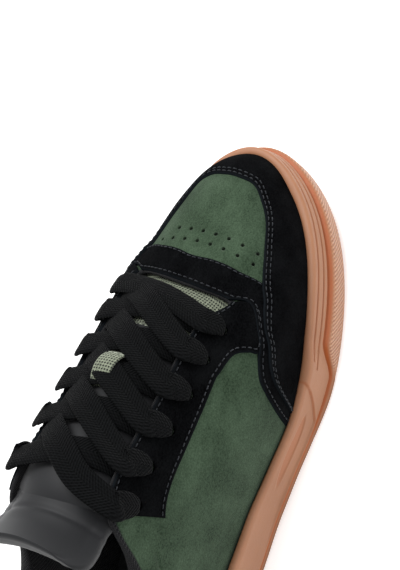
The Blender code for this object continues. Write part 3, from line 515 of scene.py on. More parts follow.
def flat_map(grid, guide):
    """UV map of an open grid: distance along a guide line, and across the middle row."""
    uv = np.zeros((grid.shape[0] + 1, grid.shape[1] + 1, 2))
    uv[:-1, :, 0] = length_along(guide)[:, None]
    uv[:-1, :-1, 1] = length_along(grid[len(grid) // 2])[None, :]
    return uv


def pair_strip(loop):
    """Fill a loop of an even number of points by joining them in pairs across it."""
    count = len(loop)
    faces = []
    for index in range(count // 2):
        corners = [loop[index], loop[index + 1], loop[(count - 1 - index) % count],
                   loop[(count - index) % count]]
        faces.append(list(dict.fromkeys(corners)))
    return [face for face in faces if len(face) > 2]


def grid_faces(rows, columns, ring, closed_section, start=0):
    """Faces of a grid of points, and which point of the grid each face corner lies on."""
    i, j = np.meshgrid(
        np.arange(rows if ring else rows - 1),
        np.arange(columns if closed_section else columns - 1), indexing="ij")
    corner_rows = np.stack([i, i + 1, i + 1, i], -1).reshape(-1, 4)
    corner_columns = np.stack([j, j, j + 1, j + 1], -1).reshape(-1, 4)
    faces = (corner_rows % rows) * columns + corner_columns % columns + start
    return faces, corner_rows, corner_columns


def skin(name, grid, uv, ring=False, closed_section=True, marks=None):
    """Skin a grid of points, rows along and columns across, into a closed mesh."""
    rows, columns, _ = grid.shape
    faces, corner_rows, corner_columns = grid_faces(rows, columns, ring, closed_section)
    corners = list(uv[corner_rows, corner_columns].reshape(-1, 2))
    faces = faces.tolist()
    caps = []
    if not ring:
        first = list(range(columns))
        last = [(rows - 1) * columns + index for index in first]
        caps += cap_faces(first) + [face[::-1] for face in cap_faces(last)]
    if ring and not closed_section:
        low = [row * columns for row in range(rows)]
        high = [row * columns + columns - 1 for row in range(rows)]
        caps += [face[::-1] for face in pair_strip(low)] + pair_strip(high)
    flat = grid.reshape(-1, 3)
    for face in caps:
        corners += [uv[index // columns, index % columns] for index in face]
    return fill_mesh(name, flat, faces + caps, corners, marks)


def cap_faces(loop):
    """Close the end of a tube-like skin by joining its points in pairs."""
    count = len(loop)
    return [
        [loop[index], loop[index + 1], loop[count - 2 - index], loop[count - 1 - index]]
        for index in range(count // 2 - 1)]


def resample_columns(keys, counts):
    """Put points between the key points of each column and round the corners."""
    parts = []
    for index, count in enumerate(counts):
        share = np.arange(count) / count
        start = keys[:, index, None]
        end = keys[:, index + 1, None]
        parts.append(start + (end - start) * share[None, :, None])
    points = np.concatenate([*parts, keys[:, -1:]], axis=1)
    for _ in range(3):
        inner = (points[:, :-2] + 2 * points[:, 1:-1] + points[:, 2:]) / 4
        points = np.concatenate([points[:, :1], inner, points[:, -1:]], axis=1)
    return points


def cut(obj, cutter):
    """Cut an object with a closed cutter and drop the cutter."""
    modifier = obj.modifiers.new("cut", "BOOLEAN")
    modifier.operation = "DIFFERENCE"
    modifier.solver = "MANIFOLD"
    modifier.object = cutter
    graph = bpy.context.evaluated_depsgraph_get()
    mesh = bpy.data.meshes.new_from_object(obj.evaluated_get(graph))
    obj.modifiers.clear()
    obj.data = mesh
    bpy.data.objects.remove(cutter, do_unlink=True)


def cutter_object(name, builder):
    """Turn a bmesh into an object that something else is cut with."""
    mesh = bpy.data.meshes.new(name)
    builder.to_mesh(mesh)
    builder.free()
    obj = bpy.data.objects.new(name, mesh)
    bpy.context.scene.collection.objects.link(obj)
    return obj


def pins(name, places, shares, diameter, depth, sides=14):
    """Round pins through the upper's wall, as one cutter."""
    builder = bmesh.new()
    for place, share in zip(places, shares):
        centre = Vector(upper_face(place, share) - CENTRE)
        normal = Vector(face_normal(np.asarray(place), np.asarray(share)))
        turn = normal.to_track_quat("Z", "Y").to_matrix().to_4x4()
        bmesh.ops.create_cone(
            builder, cap_ends=True, segments=sides, radius1=diameter / 2,
            radius2=diameter / 2, depth=depth, matrix=Matrix.Translation(centre) @ turn)
    return cutter_object(name, builder)


# Materials
class Finish:
    """A material that is being built from nodes round one Principled shader."""

    def __init__(self, name, **sockets):
        self.material = bpy.data.materials.new(name)
        self.material.use_nodes = True
        self.tree = self.material.node_tree
        self.shader = self.tree.nodes["Principled BSDF"]
        for key, value in sockets.items():
            self.shader.inputs[key.replace("_", " ")].default_value = value

    def add(self, kind, inputs=None, output=0, **settings):
        """Add a node, fill its sockets with values or links, and return one output."""
        node = self.tree.nodes.new(kind)
        for key, value in settings.items():
            setattr(node, key, value)
        for key, value in (inputs or {}).items():
            if isinstance(value, bpy.types.NodeSocket):
                self.tree.links.new(value, node.inputs[key])
            else:
                node.inputs[key].default_value = value
        return node.outputs[output]

    def position(self, stretch=(1.0, 1.0, 1.0)):
        place = self.add("ShaderNodeTexCoord", output="Object")
        return self.add("ShaderNodeMapping", {"Vector": place, "Scale": stretch})

    def map_place(self):
        """Distances along and across the surface from its UV map."""
        node = self.tree.nodes.new("ShaderNodeSeparateXYZ")
        self.tree.links.new(self.add("ShaderNodeTexCoord", output="UV"), node.inputs[0])
        return node.outputs[0], node.outputs[1]

    def mark(self, name):
        return self.add("ShaderNodeAttribute", output="Fac", attribute_name=name)

    def noise(self, size, detail=2.0, stretch=(1.0, 1.0, 1.0), roughness=.55):
        """Noise with spots about one size across, in metres."""
        return self.add("ShaderNodeTexNoise", {
            "Vector": self.position(stretch), "Scale": 1.0 / size, "Detail": detail,
            "Roughness": roughness})

    def scale(self, value, low, high, new_low=0.0, new_high=1.0):
        return self.add("ShaderNodeMapRange", {
            "Value": value, "From Min": low, "From Max": high, "To Min": new_low,
            "To Max": new_high})

    def math(self, operation, first, second=0.0):
        return self.add("ShaderNodeMath", {0: first, 1: second}, operation=operation)

    def weigh(self, first, first_part, second, second_part):
        """Sum of two values, each times its part."""
        first_value = self.math("MULTIPLY", first, first_part)
        return self.math("ADD", first_value, self.math("MULTIPLY", second, second_part))

    def blend(self, share, first, second):
        return self.add("ShaderNodeMix", {0: share, 6: first, 7: second}, output=2, data_type="RGBA")

    def wave(self, value, pitch):
        """A sine of a distance, from -1 to 1, that repeats at the pitch."""
        return self.math("SINE", self.math("MULTIPLY", value, 2 * np.pi / pitch))

    def bump(self, height, distance, normal=None):
        inputs = {"Height": height, "Distance": distance, "Strength": 1.0}
        if normal is not None:
            inputs["Normal"] = normal
        return self.add("ShaderNodeBump", inputs)

    def finish(self, colour=None, normal=None, roughness=None):
        for key, value in (("Base Color", colour), ("Normal", normal), ("Roughness", roughness)):
            if value is not None:
                self.tree.links.new(value, self.shader.inputs[key])
        return self.material


def colour(red, green, blue):
    return (red, green, blue, 1.0)


def suede(name, deep, light, edge, sheen):
    """Brushed leather: patches of nap, a fine speckle of fibres and a painted highlight, paler and bluish,
    along the cut edge.
    """
    finish = Finish(
        name, Roughness=.92, Sheen_Weight=sheen, Sheen_Roughness=.45,
        Specular_IOR_Level=.015)
    patches = finish.scale(finish.noise(.016, 3.0, (1.0, 1.5, 1.0)), .38, .64)
    speckle = finish.scale(finish.noise(.00075, 3.0, (1.0, 1.3, 1.0), .7), .34, .66)
    strokes = finish.noise(.0016, 2.0, (.35, 1.6, 1.0))
    shade = finish.weigh(patches, .42, speckle, .58)
    nap = finish.blend(shade, deep, light)
    # Painted highlight: near the panel's edge the colour turns paler and bluish, as if the edge caught the
    # light.
    edge_highlighted = finish.blend(finish.mark("edge"), nap, edge)
    fibres = finish.bump(finish.noise(.00045, 4.0, (1.0, 1.4, 1.0), .75), .00022)
    brushed = finish.bump(strokes, .00025, fibres)
    return finish.finish(edge_highlighted, brushed)


def upper_suede():
    """Green suede outside, with black lining within and round the padded collar."""
    finish = Finish(
        "green_suede", Roughness=.92, Sheen_Weight=.10, Sheen_Roughness=.45,
        Specular_IOR_Level=.05)
    patches = finish.scale(finish.noise(.018, 3.0, (1.0, 1.5, 1.0)), .36, .66)
    speckle = finish.scale(finish.noise(.00085, 3.0, (1.0, 1.3, 1.0), .75), .32, .68)
    shade = finish.weigh(patches, .38, speckle, .62)
    nap = finish.blend(shade, colour(.012, .024, .012), colour(.068, .108, .066))
    weave_u, weave_v = finish.map_place()
    knit = finish.math("MULTIPLY", finish.wave(weave_u, .0016), finish.wave(weave_v, .0016))
    knit = finish.scale(knit, -.2, 1.0)
    cloth = finish.blend(knit, colour(.016, .016, .018), colour(.006, .006, .007))
    shown = finish.blend(finish.mark("lining"), nap, cloth)
    fibres = finish.bump(finish.noise(.00050, 4.0, (1.0, 1.4, 1.0), .75), .00022)
    holes = finish.math("MULTIPLY", knit, finish.mark("lining"))
    woven = finish.bump(finish.math("MULTIPLY", holes, -1.0), .0004, fibres)
    return finish.finish(shown, woven)


def gum():
    """Satin gum rubber, cross-hatched on its band, with painted shade, dark and deep orange, in its
    grooves, ribs, the recess's edge and the slot.
    """
    finish = Finish(
        "gum_rubber", Roughness=.5, Specular_IOR_Level=.42, Subsurface_Weight=.10,
        Subsurface_Scale=.004, Coat_Weight=.06, Coat_Roughness=.35)
    finish.shader.inputs["Subsurface Radius"].default_value = (1.0, .45, .2)
    mottle = finish.scale(finish.noise(.030, 3.0), .35, .65)
    fine = finish.noise(.0012, 3.0)
    base = finish.blend(mottle, colour(.325, .140, .068), colour(.370, .165, .083))
    dusty = finish.blend(finish.math("MULTIPLY", fine, .22), base, colour(.47, .25, .145))
    # Painted shade: where the groove mark is set, the colour turns dark deep orange, standing in for the
    # shade and bounced light inside the grooves, ribs, the recess's edge and the slot.
    deep = finish.blend(finish.mark("groove"), dusty, colour(.38, .095, .018))
    along, height = finish.map_place()
    rising = finish.wave(finish.math("ADD", along, height), .0021)
    falling = finish.wave(finish.math("SUBTRACT", along, height), .0021)
    crossed = finish.weigh(rising, .72, falling, .28)
    lines = finish.blend(
        finish.scale(crossed, -.7, .7), colour(.36, .155, .080), colour(.64, .365, .235))
    tinted = finish.blend(finish.math("MULTIPLY", finish.mark("band"), .8), deep, lines)
    hatch = finish.math("MULTIPLY", crossed, finish.mark("band"))
    pores = finish.bump(finish.noise(.0007, 4.0), .00008)
    grain = finish.bump(hatch, .00028, pores)
    gloss = finish.scale(fine, .3, .7, .46, .60)
    return finish.finish(tinted, grain, gloss)


def lace_cloth():
    """Flat lace: slanted ribs that meet along its middle, over cords that run along it."""
    finish = Finish(
        "black_lace", Roughness=.85, Sheen_Weight=.015, Sheen_Roughness=.4,
        Specular_IOR_Level=.06)
    along, across = finish.map_place()
    slant = finish.math("ADD", along, finish.math("MULTIPLY", finish.math("ABSOLUTE", across), .9))
    ribs = finish.wave(slant, .00150)
    cords = finish.wave(across, .00125)
    weave = finish.weigh(ribs, .6, cords, .4)
    fuzz = finish.scale(finish.noise(.0009, 3.0), .3, .7)
    shade = finish.math("ADD", finish.scale(weave, -1.0, 1.0, 0.0, .62), finish.math("MULTIPLY", fuzz, .38))
    threads = finish.blend(shade, colour(.0008, .0009, .0010), colour(.0064, .0069, .0075))
    yarn = finish.bump(weave, .00030)
    soft = finish.bump(finish.noise(.0004, 3.0), .00010, yarn)
    return finish.finish(threads, soft)


def mesh_cloth():
    """Sage spacer mesh with rows of holes painted near black as shade, and black satin where it is marked
    plain.
    """
    finish = Finish("sage_mesh", Roughness=.85, Sheen_Weight=.15, Specular_IOR_Level=.25)
    along, across = finish.map_place()
    rows = finish.wave(finish.math("ADD", along, across), .0028)
    columns = finish.wave(finish.math("SUBTRACT", along, across), .0028)
    open_share = finish.scale(finish.math("MULTIPLY", rows, columns), .12, .60)
    yarn = finish.scale(finish.noise(.0009, 2.0), .3, .7)
    strands = finish.blend(yarn, colour(.135, .155, .108), colour(.270, .300, .215))
    # Painted shade: the mesh's holes are painted near black, the shade inside them.
    mesh_with_shaded_holes = finish.blend(open_share, strands, colour(.010, .012, .009))
    satin = colour(.010, .0105, .012)
    shown = finish.blend(finish.mark("plain"), mesh_with_shaded_holes, satin)
    holes = finish.math("MULTIPLY", open_share, finish.math("SUBTRACT", 1.0, finish.mark("plain")))
    depth = finish.bump(finish.math("MULTIPLY", holes, -1.0), .0007)
    smoothness = finish.scale(finish.mark("plain"), 0.0, 1.0, .85, .55)
    return finish.finish(shown, depth, smoothness)


def plain_cloth(name, dark, light, pitch):
    """Closely woven cloth, with its weave set by its position."""
    finish = Finish(name, Roughness=.9, Sheen_Weight=.15, Specular_IOR_Level=.2)
    speckle = finish.scale(finish.noise(pitch, 2.0), .35, .65)
    shown = finish.blend(speckle, dark, light)
    return finish.finish(shown, finish.bump(finish.noise(pitch, 3.0), .0002))


GREEN = upper_suede()
# The third colour is the painted highlight along the panels' edges.
BLACK = suede(
    "black_suede", colour(.0006, .0006, .0008), colour(.0062, .0067, .0074),
    colour(.009, .0115, .014), .0)
GUM = gum()
LACE = lace_cloth()
MESH = mesh_cloth()
THREAD = plain_cloth("thread", colour(.010, .012, .015), colour(.030, .034, .040), .0006)
PALE_THREAD = plain_cloth("pale_thread", colour(.30, .33, .26), colour(.46, .50, .40), .0006)
FOOTBED = plain_cloth("footbed_cloth", colour(.008, .008, .009), colour(.022, .022, .024), .0009)


# Pieces
def ring_places():
    """Places round the ring, closer together where the sidewall's scoop is."""
    even = np.arange(RING_COLUMNS) / RING_COLUMNS
    close = [np.linspace(ring_place(start), ring_place(start + SCOOP_STATIONS), SCOOP_COLUMNS)
             for start in SCOOP_STARTS]
    places = np.unique(np.concatenate([even, *close]).round(5))
    return places if len(places) % 2 == 0 else places[:-1]


def band_form(share):
    """How far the tall front band has come in, its height, and its groove's share and height."""
    front = smooth_step(share, *TALL_BAND_FROM)
    band = OUTSOLE_EDGE + (BAND_HEIGHT - OUTSOLE_EDGE) * front
    groove = .5 + .5 * front
    return front, band, groove, BAND_GROOVE_HEIGHT * groove


def sole_keys(place):
    """Key points of the sole's side, from the tread over the lip to the cup's floor."""
    x, y, out_x, out_y = outline(place)
    share = x / SOLE_LENGTH
    front, band, groove, ledge = band_form(share)
    groove = BAND_GROOVE_DEPTH * groove
    swell = bumper_swell(x)
    wall = CURVES["wall"](place)
    rest = wall - band
    lean = WALL_STEP * front
    slope = WALL_LEAN * (HEEL_LEAN + (1 - HEEL_LEAN) * front)
    none = np.zeros_like(x)
    # How far outwards, how high above the tread, and how many points up to the next row
    profile = [
        (swell - TREAD_ROUNDING, none, 4),
        (swell - TREAD_ROUNDING * .25, none + TREAD_ROUNDING * .2, 3),
        (swell, none + TREAD_ROUNDING * .9, 8),
        (swell, band - .0018, 3),
        (swell - .0007, band - .0002, 3),
        (-groove - lean, band + .0002, 3),
        (-groove - lean, band + ledge, 3),
        (-lean - slope * .14, band + ledge + .0006, 12),
        (-lean - slope * .33, band + .34 * rest, 6),
        (-lean - slope * .41, band + .40 * rest, 16),
        (-lean - slope * .66, band + .67 * rest, 6),
        (-lean - slope * .74, band + .73 * rest, 12),
        (-lean - slope * .90, band + .90 * rest, 4),
        (-lean - slope - .0005, band + .97 * rest, 3),
        (-lean - slope - .0014, wall, 3),
    ]
    points = []
    for outward, height, _ in profile:
        point_x = x + out_x * outward
        points.append(np.stack(
            [point_x, y + out_y * outward, tread_height(point_x) + height], -1))
    gap = FIT_GAP * 1.5
    lip_share = share_at_height(place, wall)
    lip = upper_face(place, lip_share, gap)
    lip[..., 2] = tread_height(lip[..., 0]) + wall
    foot = upper_face(place, np.zeros_like(place), gap)
    foot[..., 2] = tread_height(foot[..., 0]) + CUP_FLOOR - FIT_GAP
    points += [lip, upper_face(place, lip_share * .5, gap), foot]
    counts = [row[2] for row in profile] + [4, 4]
    return np.stack(points, 1), counts


# The recess at the sole's waist: where its front edge is at each height of the sidewall,
# and the slot in it, with its middle and half sizes along and up. Then each rib's level
# as a share of the wall above the band, and where it ends as a share of the sole's length
SCOOP_EDGE = [
    (.0030, .1730), (.0052, .1768), (.0116, .1836), (.0166, .1876), (.0202, .1893), (.0240, .1925)]
SLOT_MIDDLE = (.160, .0132)
SLOT_SIZE = (.017, .0026)
SLOT_DEPTH = 0.0005
RIB_ENDS = [(.37, .6570), (.70, .6670)]
RIB_WIDTH = 0.00034


def sole_relief(grid, place):
    """Cut the ribs, the waist's recess and its slot into the sidewall, and mark them.

    The groove mark carries painted shade, up to 1, in the band's groove, the ribs, along the recess's edge
    and in the slot. The band mark is 1 on the hatched band. Both are 0 elsewhere.
    """
    x, _, out_x, out_y = outline(place)
    outward = np.stack([out_x, out_y, np.zeros_like(out_x)], -1)[:, None]
    along = x[:, None]
    share = along / SOLE_LENGTH
    height = grid[..., 2] - tread_height(grid[..., 0])
    _, band, _, ledge = band_form(share)
    wall = CURVES["wall"](place)[:, None]
    inside = np.arange(grid.shape[1])[None, :] > grid.shape[1] - 10
    on_wall = np.where(inside, 0.0, smooth_step(height, band + ledge + .0006, band + ledge + .0016))
    ribs = np.zeros_like(height)
    for level, end in RIB_ENDS:
        line = BAND_HEIGHT + level * (wall - BAND_HEIGHT)
        ribs = ribs + hump(height, line, RIB_WIDTH) * smooth_step(share, end, end + .004)
    levels, stops = np.array(SCOOP_EDGE).T
    edge = np.interp(height, levels, stops)
    recess = smooth_step(share, *RECESS_FROM)
    behind = smooth_step(edge - along, -.0004, .0004) * recess * on_wall
    slot = ((along - SLOT_MIDDLE[0]) / SLOT_SIZE[0])**2 + ((height - SLOT_MIDDLE[1]) / SLOT_SIZE[1])**2
    slot = (1 - smooth_step(slot, .75, 1.15)) * on_wall
    rim = hump(along, edge, .0006) * on_wall
    depth = RIB_GROOVE_DEPTH * ribs * on_wall + SCOOP_DEPTH * behind + SLOT_DEPTH * slot
    grid = grid - outward * depth[..., None]
    # Painted shade for the groove mark: the band's groove, the ribs, the recess's edge and the slot.
    groove = smooth_step(height, band - .0006, band - .0001) * (
        1 - smooth_step(height, band + ledge + .0002, band + ledge + .0008))
    groove = groove + .80 * ribs * on_wall + .42 * rim * recess + .35 * slot
    hatched = smooth_step(height, .0020, .0030) * (1 - smooth_step(height, band - .0012, band - .0004))
    hatched = hatched * smooth_step(share, *HATCH_FROM)
    return grid, {
        "groove": np.where(inside, 0.0, np.clip(groove, 0, 1)),
        "band": np.where(inside, 0.0, hatched),
    }


def tread_cutter():
    """Flex grooves across the ball and the heel."""
    builder = bmesh.new()
    grooves = [
        SOLE_LENGTH * start + LUG_PITCH * index
        for start, count in LUG_ROWS.values() for index in range(count)]
    sides = [np.linspace(.02, .48, 60), np.linspace(.98, .52, 60)]
    for x in grooves:
        right, left = [
            abs(float(np.interp(x, *outline(places)[:2]))) - LUG_MARGIN for places in sides]
        centre = Vector((x, (left - right) / 2, float(tread_height(x)))) - Vector(CENTRE)
        size = (LUG_GROOVE_WIDTH, right + left, 2 * LUG_GROOVE_DEPTH, 1.0)
        bmesh.ops.create_cube(
            builder, size=1.0, matrix=Matrix.Translation(centre) @ Matrix.Diagonal(size))
    return cutter_object("tread_cutter", builder)


def build_cupsole():
    places = ring_places()
    keys, counts = sole_keys(places)
    grid, marks = sole_relief(resample_columns(keys, counts), places)
    x, y, _, _ = outline(np.append(places, 1.0))
    along = length_along(np.stack([x, y], -1))
    columns = grid.shape[1]
    uv = np.empty((len(places) + 1, columns + 1, 2))
    uv[..., 0] = along[:, None]
    height = grid[..., 2] - tread_height(grid[..., 0])
    uv[:-1, :-1, 1] = height
    uv[-1, :-1, 1] = height[0]
    uv[:, -1] = uv[:, -2]
    sole = skin("cupsole_finish", grid, uv, ring=True, closed_section=False, marks=marks)
    sole.data.materials.append(GUM)
    cut(sole, tread_cutter())
    return sole


def collar_padding(place):
    """1 along the padded collar, falling to 0 where the eyestay begins."""
    station = station_of(place % 1.0)
    front = STATIONS["eyestay_top_lat"] - COLLAR_MARGIN
    back = STATIONS["eyestay_top_med"] + COLLAR_MARGIN
    before = smooth_step(station, front - COLLAR_FADE, front)
    return 1 - before * (1 - smooth_step(station, back, back + COLLAR_FADE))


def wall_thickness(place, share):
    """Thickness of the upper: its plain wall, and the padding under the collar's edge."""
    padding = collar_padding(place) * smooth_step(share, *PADDING_FROM)
    return UPPER_WALL + (COLLAR_PAD - UPPER_WALL) * padding


def soft_form(place, share):
    """Soft ridges and troughs that every leather piece follows, outwards in metres."""
    station = station_of(place % 1.0)
    mirrored = np.minimum(station, COUNT - station)
    return sum(
        crease.height * hump(mirrored, crease.station, crease.width)
        * hump(share, crease.share, crease.spread) for crease in CREASES)


def build_upper():
    places = np.arange(RING_COLUMNS) / RING_COLUMNS
    column = places[:, None]
    shares = np.linspace(0.0, 1.0, WALL_ROWS + 1)[None, :]
    padded = collar_padding(column)
    collar_seam = padded * hump(shares, COLLAR_SEAM_SHARE, COLLAR_SEAM_WIDTH)
    roll = np.clip((shares - COLLAR_SEAM_SHARE) / (1 - COLLAR_SEAM_SHARE), 0, 1)
    puff = padded * COLLAR_PUFF * np.sin(np.pi * roll)
    outer = upper_face(
        column, shares, soft_form(column, shares) - COLLAR_SEAM_DEPTH * collar_seam + puff)
    inner_shares = np.linspace(1.0, 0.0, LINING_ROWS + 1)[None, :]
    inner = upper_face(column, inner_shares, -wall_thickness(column, inner_shares))
    inner[:, -1, 2] = outer[:, 0, 2]
    edge = outer[:, -1]
    inside = inner[:, 0]
    upward = outer[:, -1] - outer[:, -2]
    upward = upward / np.linalg.norm(upward, axis=-1, keepdims=True)
    thickness = np.linalg.norm(inside - edge, axis=-1, keepdims=True)
    rim = []
    for angle in np.radians(np.arange(18.0, 180.0, 18.0)):
        middle = (edge + inside) / 2 + (edge - inside) / 2 * np.cos(angle)
        rim.append(middle + upward * thickness * .42 * np.sin(angle))
    grid = np.concatenate([outer, np.stack(rim, 1), inner], axis=1)
    columns = grid.shape[1]
    outer_rows = outer.shape[1]
    lining = np.ones((len(places), columns))
    lining[:, :outer_rows] = np.maximum(
        smooth_step(shares, *COLLAR_LINING_FROM) * (padded > .5),
        smooth_step(shares, *THROAT_LINING_FROM))
    along = length_along(wall_face(np.append(places, 1.0), np.asarray(.5)))
    across = length_along(grid[0])
    uv = np.empty((len(places) + 1, columns + 1, 2))
    uv[..., 0] = along[:, None]
    uv[..., 1] = np.append(across, across[-1] + .001)[None, :]
    upper = skin("upper_finish", grid, uv, ring=True, marks={"lining": lining})
    upper.data.materials.append(GREEN)
    cut(upper, pins("vent_cutter", *vent_places(), VENT_DIAMETER, .008))
    cut(upper, pins("eyelet_cutter", *eyelet_places(), EYELET_DIAMETER, .010))
    return upper


def plan_place(x, y, place, share):
    """Place and share of the point of the toe that lies over x, y, near a first guess."""
    step = 1e-4
    for _ in range(8):
        point = wall_face(place, share)
        along = (wall_face(place + step, share) - point) / step
        upward = (wall_face(place, share + step) - point) / step
        system = np.array([[along[0], upward[0]], [along[1], upward[1]]])
        move = np.linalg.solve(system, np.array([x - point[0], y - point[1]]))
        place = place + float(np.clip(move[0], -.01, .01))
        share = share + float(np.clip(move[1], -.05, .05))
        place, share = np.asarray(place), np.asarray(share)
    return float(place), float(share)


def vent_places():
    """Two curved rows of vent holes across the toe."""
    places, shares = [], []
    for row in VENT_ROWS:
        for index in range(row.count):
            y = row.start - row.pitch * index
            x = row.x - row.bow * (y - row.middle)**2
            place, share = plan_place(x, y, np.asarray(ring_place(12.0 + y * 60)), np.asarray(.8))
            places.append(place)
            shares.append(share)
    return places, shares


def eyelet_places():
    """Places and shares of the eyelets, from the toe to the ankle, outer side first."""
    lateral = [FIRST_ROW_STATION - ROW_SPACING * row for row in range(EYELET_ROWS)]
    medial = [COUNT - station - MEDIAL_ROW_SHIFT for station in lateral]
    return [float(ring_place(station)) for station in lateral + medial], [EYELET_SHARE] * 2 * EYELET_ROWS


class Stitching:
    """Collects the threads of the seams and makes them into one piece."""

    def __init__(self, name, thread_finish):
        self.name = name
        self.thread_finish = thread_finish
        self.random = np.random.default_rng(12)
        self.points = []
        self.faces = []
        self.count = 0

    def run(self, line, normals):
        """Stitches along a line of points on the leather."""
        length = length_along(line)
        pitch = STITCH_LENGTH + STITCH_GAP
        for index in range(int(length[-1] / pitch)):
            start = (index + .2) * pitch + self.random.normal(0, .00006)
            spots = start + STITCH_LENGTH * np.array([0.0, .12, .5, .88, 1.0])
            path = np.stack([np.interp(spots, length, line[:, axis]) for axis in range(3)], -1)
            upward = np.array([np.interp(spots[2], length, normals[:, axis]) for axis in range(3)])
            self.thread(path, upward / np.linalg.norm(upward))

    def thread(self, path, upward):
        along = path[-1] - path[0]
        along = along / np.linalg.norm(along)
        side = np.cross(along, upward)
        lifts = np.array([-.9, .35, .75, .35, -.9]) * THREAD_RADIUS
        sizes = np.array([.45, .9, 1.0, .9, .45]) * THREAD_RADIUS
        turns = np.arange(THREAD_SIDES) * 2 * np.pi / THREAD_SIDES
        rings = [
            centre + upward * lift + size * (
                np.cos(turns)[:, None] * side + np.sin(turns)[:, None] * upward)
            for centre, lift, size in zip(path, lifts, sizes)]
        self.points.append(np.concatenate(rings))
        faces, _, _ = grid_faces(THREAD_RINGS, THREAD_SIDES, False, True, self.count)
        first = list(range(self.count, self.count + THREAD_SIDES))
        last = [index + (THREAD_RINGS - 1) * THREAD_SIDES for index in first]
        self.faces += faces.tolist() + [first] + [last[::-1]]
        self.count += THREAD_RINGS * THREAD_SIDES

    def build(self):
        stitches = fill_mesh(self.name, np.concatenate(self.points), self.faces)
        stitches.data.materials.append(self.thread_finish)
        return stitches


STITCHES = Stitching("stitching", THREAD)
PALE_STITCHES = Stitching("pale_stitching", PALE_THREAD)


def panel(name, first, second, seams_first=(), seams_second=(), thickness=OVERLAY_THICKNESS,
          lift_first=0.0, lift_second=0.0, rows=34):
    """A leather panel between two edges, each an array of places and one of shares.

    seams_first and seams_second are distances of its stitch lines from its two edges,
    and the lifts raise an edge that lies over another panel.
    """
    spread = np.linspace(0.0, 1.0, 241)
    count = len(first[0])
    place = first[0][:, None] + (second[0] - first[0])[:, None] * spread
    share = first[1][:, None] + (second[1] - first[1])[:, None] * spread
    line = wall_face(place, share)
    steps = np.linalg.norm(np.diff(line, axis=1), axis=-1)
    distance = np.concatenate([np.zeros((count, 1)), np.cumsum(steps, axis=1)], axis=1)
    total = distance[:, -1]
    lifts_first = np.broadcast_to(lift_first, (count,))
    lifts_second = np.broadcast_to(lift_second, (count,))
    tops, unders, edges = [], [], []
    for index in range(count):
        reach = total[index]
        near = PANEL_MARGINS
        if reach < NARROW_PANEL:
            near = np.minimum(near, reach * .48 * near / near[-1])
        middle = np.linspace(near[-1], reach - near[-1], rows - 2 * len(near) + 2)[1:-1]
        spots = np.concatenate([near, middle, reach - near[::-1]])
        where = np.interp(spots, distance[index], spread)
        columns_place = np.interp(where, spread, place[index])
        columns_share = np.interp(where, spread, share[index])
        nearest = np.minimum(spots, reach - spots)
        rounding = 1 - EDGE_LOSS * np.exp(-nearest / EDGE_ROUNDING)
        dips = np.zeros_like(spots)
        for seam in seams_first:
            dips += hump(spots, seam, SEAM_WIDTH)
        for seam in seams_second:
            dips += hump(reach - spots, seam, SEAM_WIDTH)
        raised = lifts_first[index] * np.exp(-spots / LIFT_REACH)
        raised = raised + lifts_second[index] * np.exp(-(reach - spots) / LIFT_REACH)
        form = soft_form(columns_place, columns_share)
        out = form + thickness * rounding + raised - SEAM_DEPTH * np.clip(dips, 0, 1)
        tops.append(upper_face(columns_place, columns_share, out))
        unders.append(upper_face(columns_place[::-1], columns_share[::-1], (form - .0003)[::-1]))
        # The edge mark places the painted highlight along the panel's edges.
        edges.append(np.exp(-nearest / EDGE_HIGHLIGHT_REACH))
    tops = np.array(tops)
    unders = np.array(unders)
    edges = np.array(edges)
    grid = np.concatenate([tops, unders], axis=1)
    marks = {"edge": np.concatenate([edges, edges[:, ::-1] * 0], axis=1)}
    piece = skin(name, grid, flat_map(grid, tops[:, 0]), marks=marks)
    piece.data.materials.append(BLACK)
    for seams, from_second in ((seams_first, False), (seams_second, True)):
        for seam in seams:
            stitch_line(tops, seam, from_second)
    return piece


def stitch_line(tops, seam, from_second):
    """Sew a line at a distance from one edge of a panel's top surface."""
    rows = tops[:, ::-1] if from_second else tops
    line, normals = [], []
    for index, row in enumerate(rows):
        length = length_along(row)
        line.append([np.interp(seam, length, row[:, axis]) for axis in range(3)])
        cell = min(int(np.searchsorted(length, seam)), len(row) - 2)
        across = row[cell + 1] - row[cell - 1]
        before = rows[max(index - 1, 0)][cell]
        after = rows[min(index + 1, len(rows) - 1)][cell]
        normal = np.cross(after - before, across)
        normals.append(normal / np.linalg.norm(normal))
    line, normals = np.array(line), np.array(normals)
    upward = normals[:, 2].mean()
    outward = (normals * (line - line.mean(axis=0))).sum()
    right_way = upward > 0 or (upward > -.05 and outward > 0)
    STITCHES.run(line, normals if right_way else -normals)


def overlap_share(station, rise, fall):
    """1 where an edge lies over another panel, between its rise and its fall."""
    mirrored = np.minimum(station, COUNT - station)
    return smooth_step(mirrored, *rise) * (1 - smooth_step(mirrored, *fall))


def edge_columns(first, last, count):
    return np.linspace(float(ring_place(first)), float(ring_place(last)), count)


def build_foot_panel(name, edge_points, count, raised):
    """A panel that rises out of the cup to an edge on the upper, raised there or level."""
    places = edge_columns(edge_points[0][0], edge_points[-1][0], count)
    station = station_of(places)
    low = share_at_height(places, CURVES["wall"](places) - OVERLAY_TUCK)
    high = np.maximum(edge_share(edge_points, station), low + .03)
    return panel(
        name, (places, low), (places, high), seams_second=DOUBLE_SEAM,
        lift_second=GUARD_LIFT * overlap_share(station, *GUARD_OVER_STRIP) * raised)


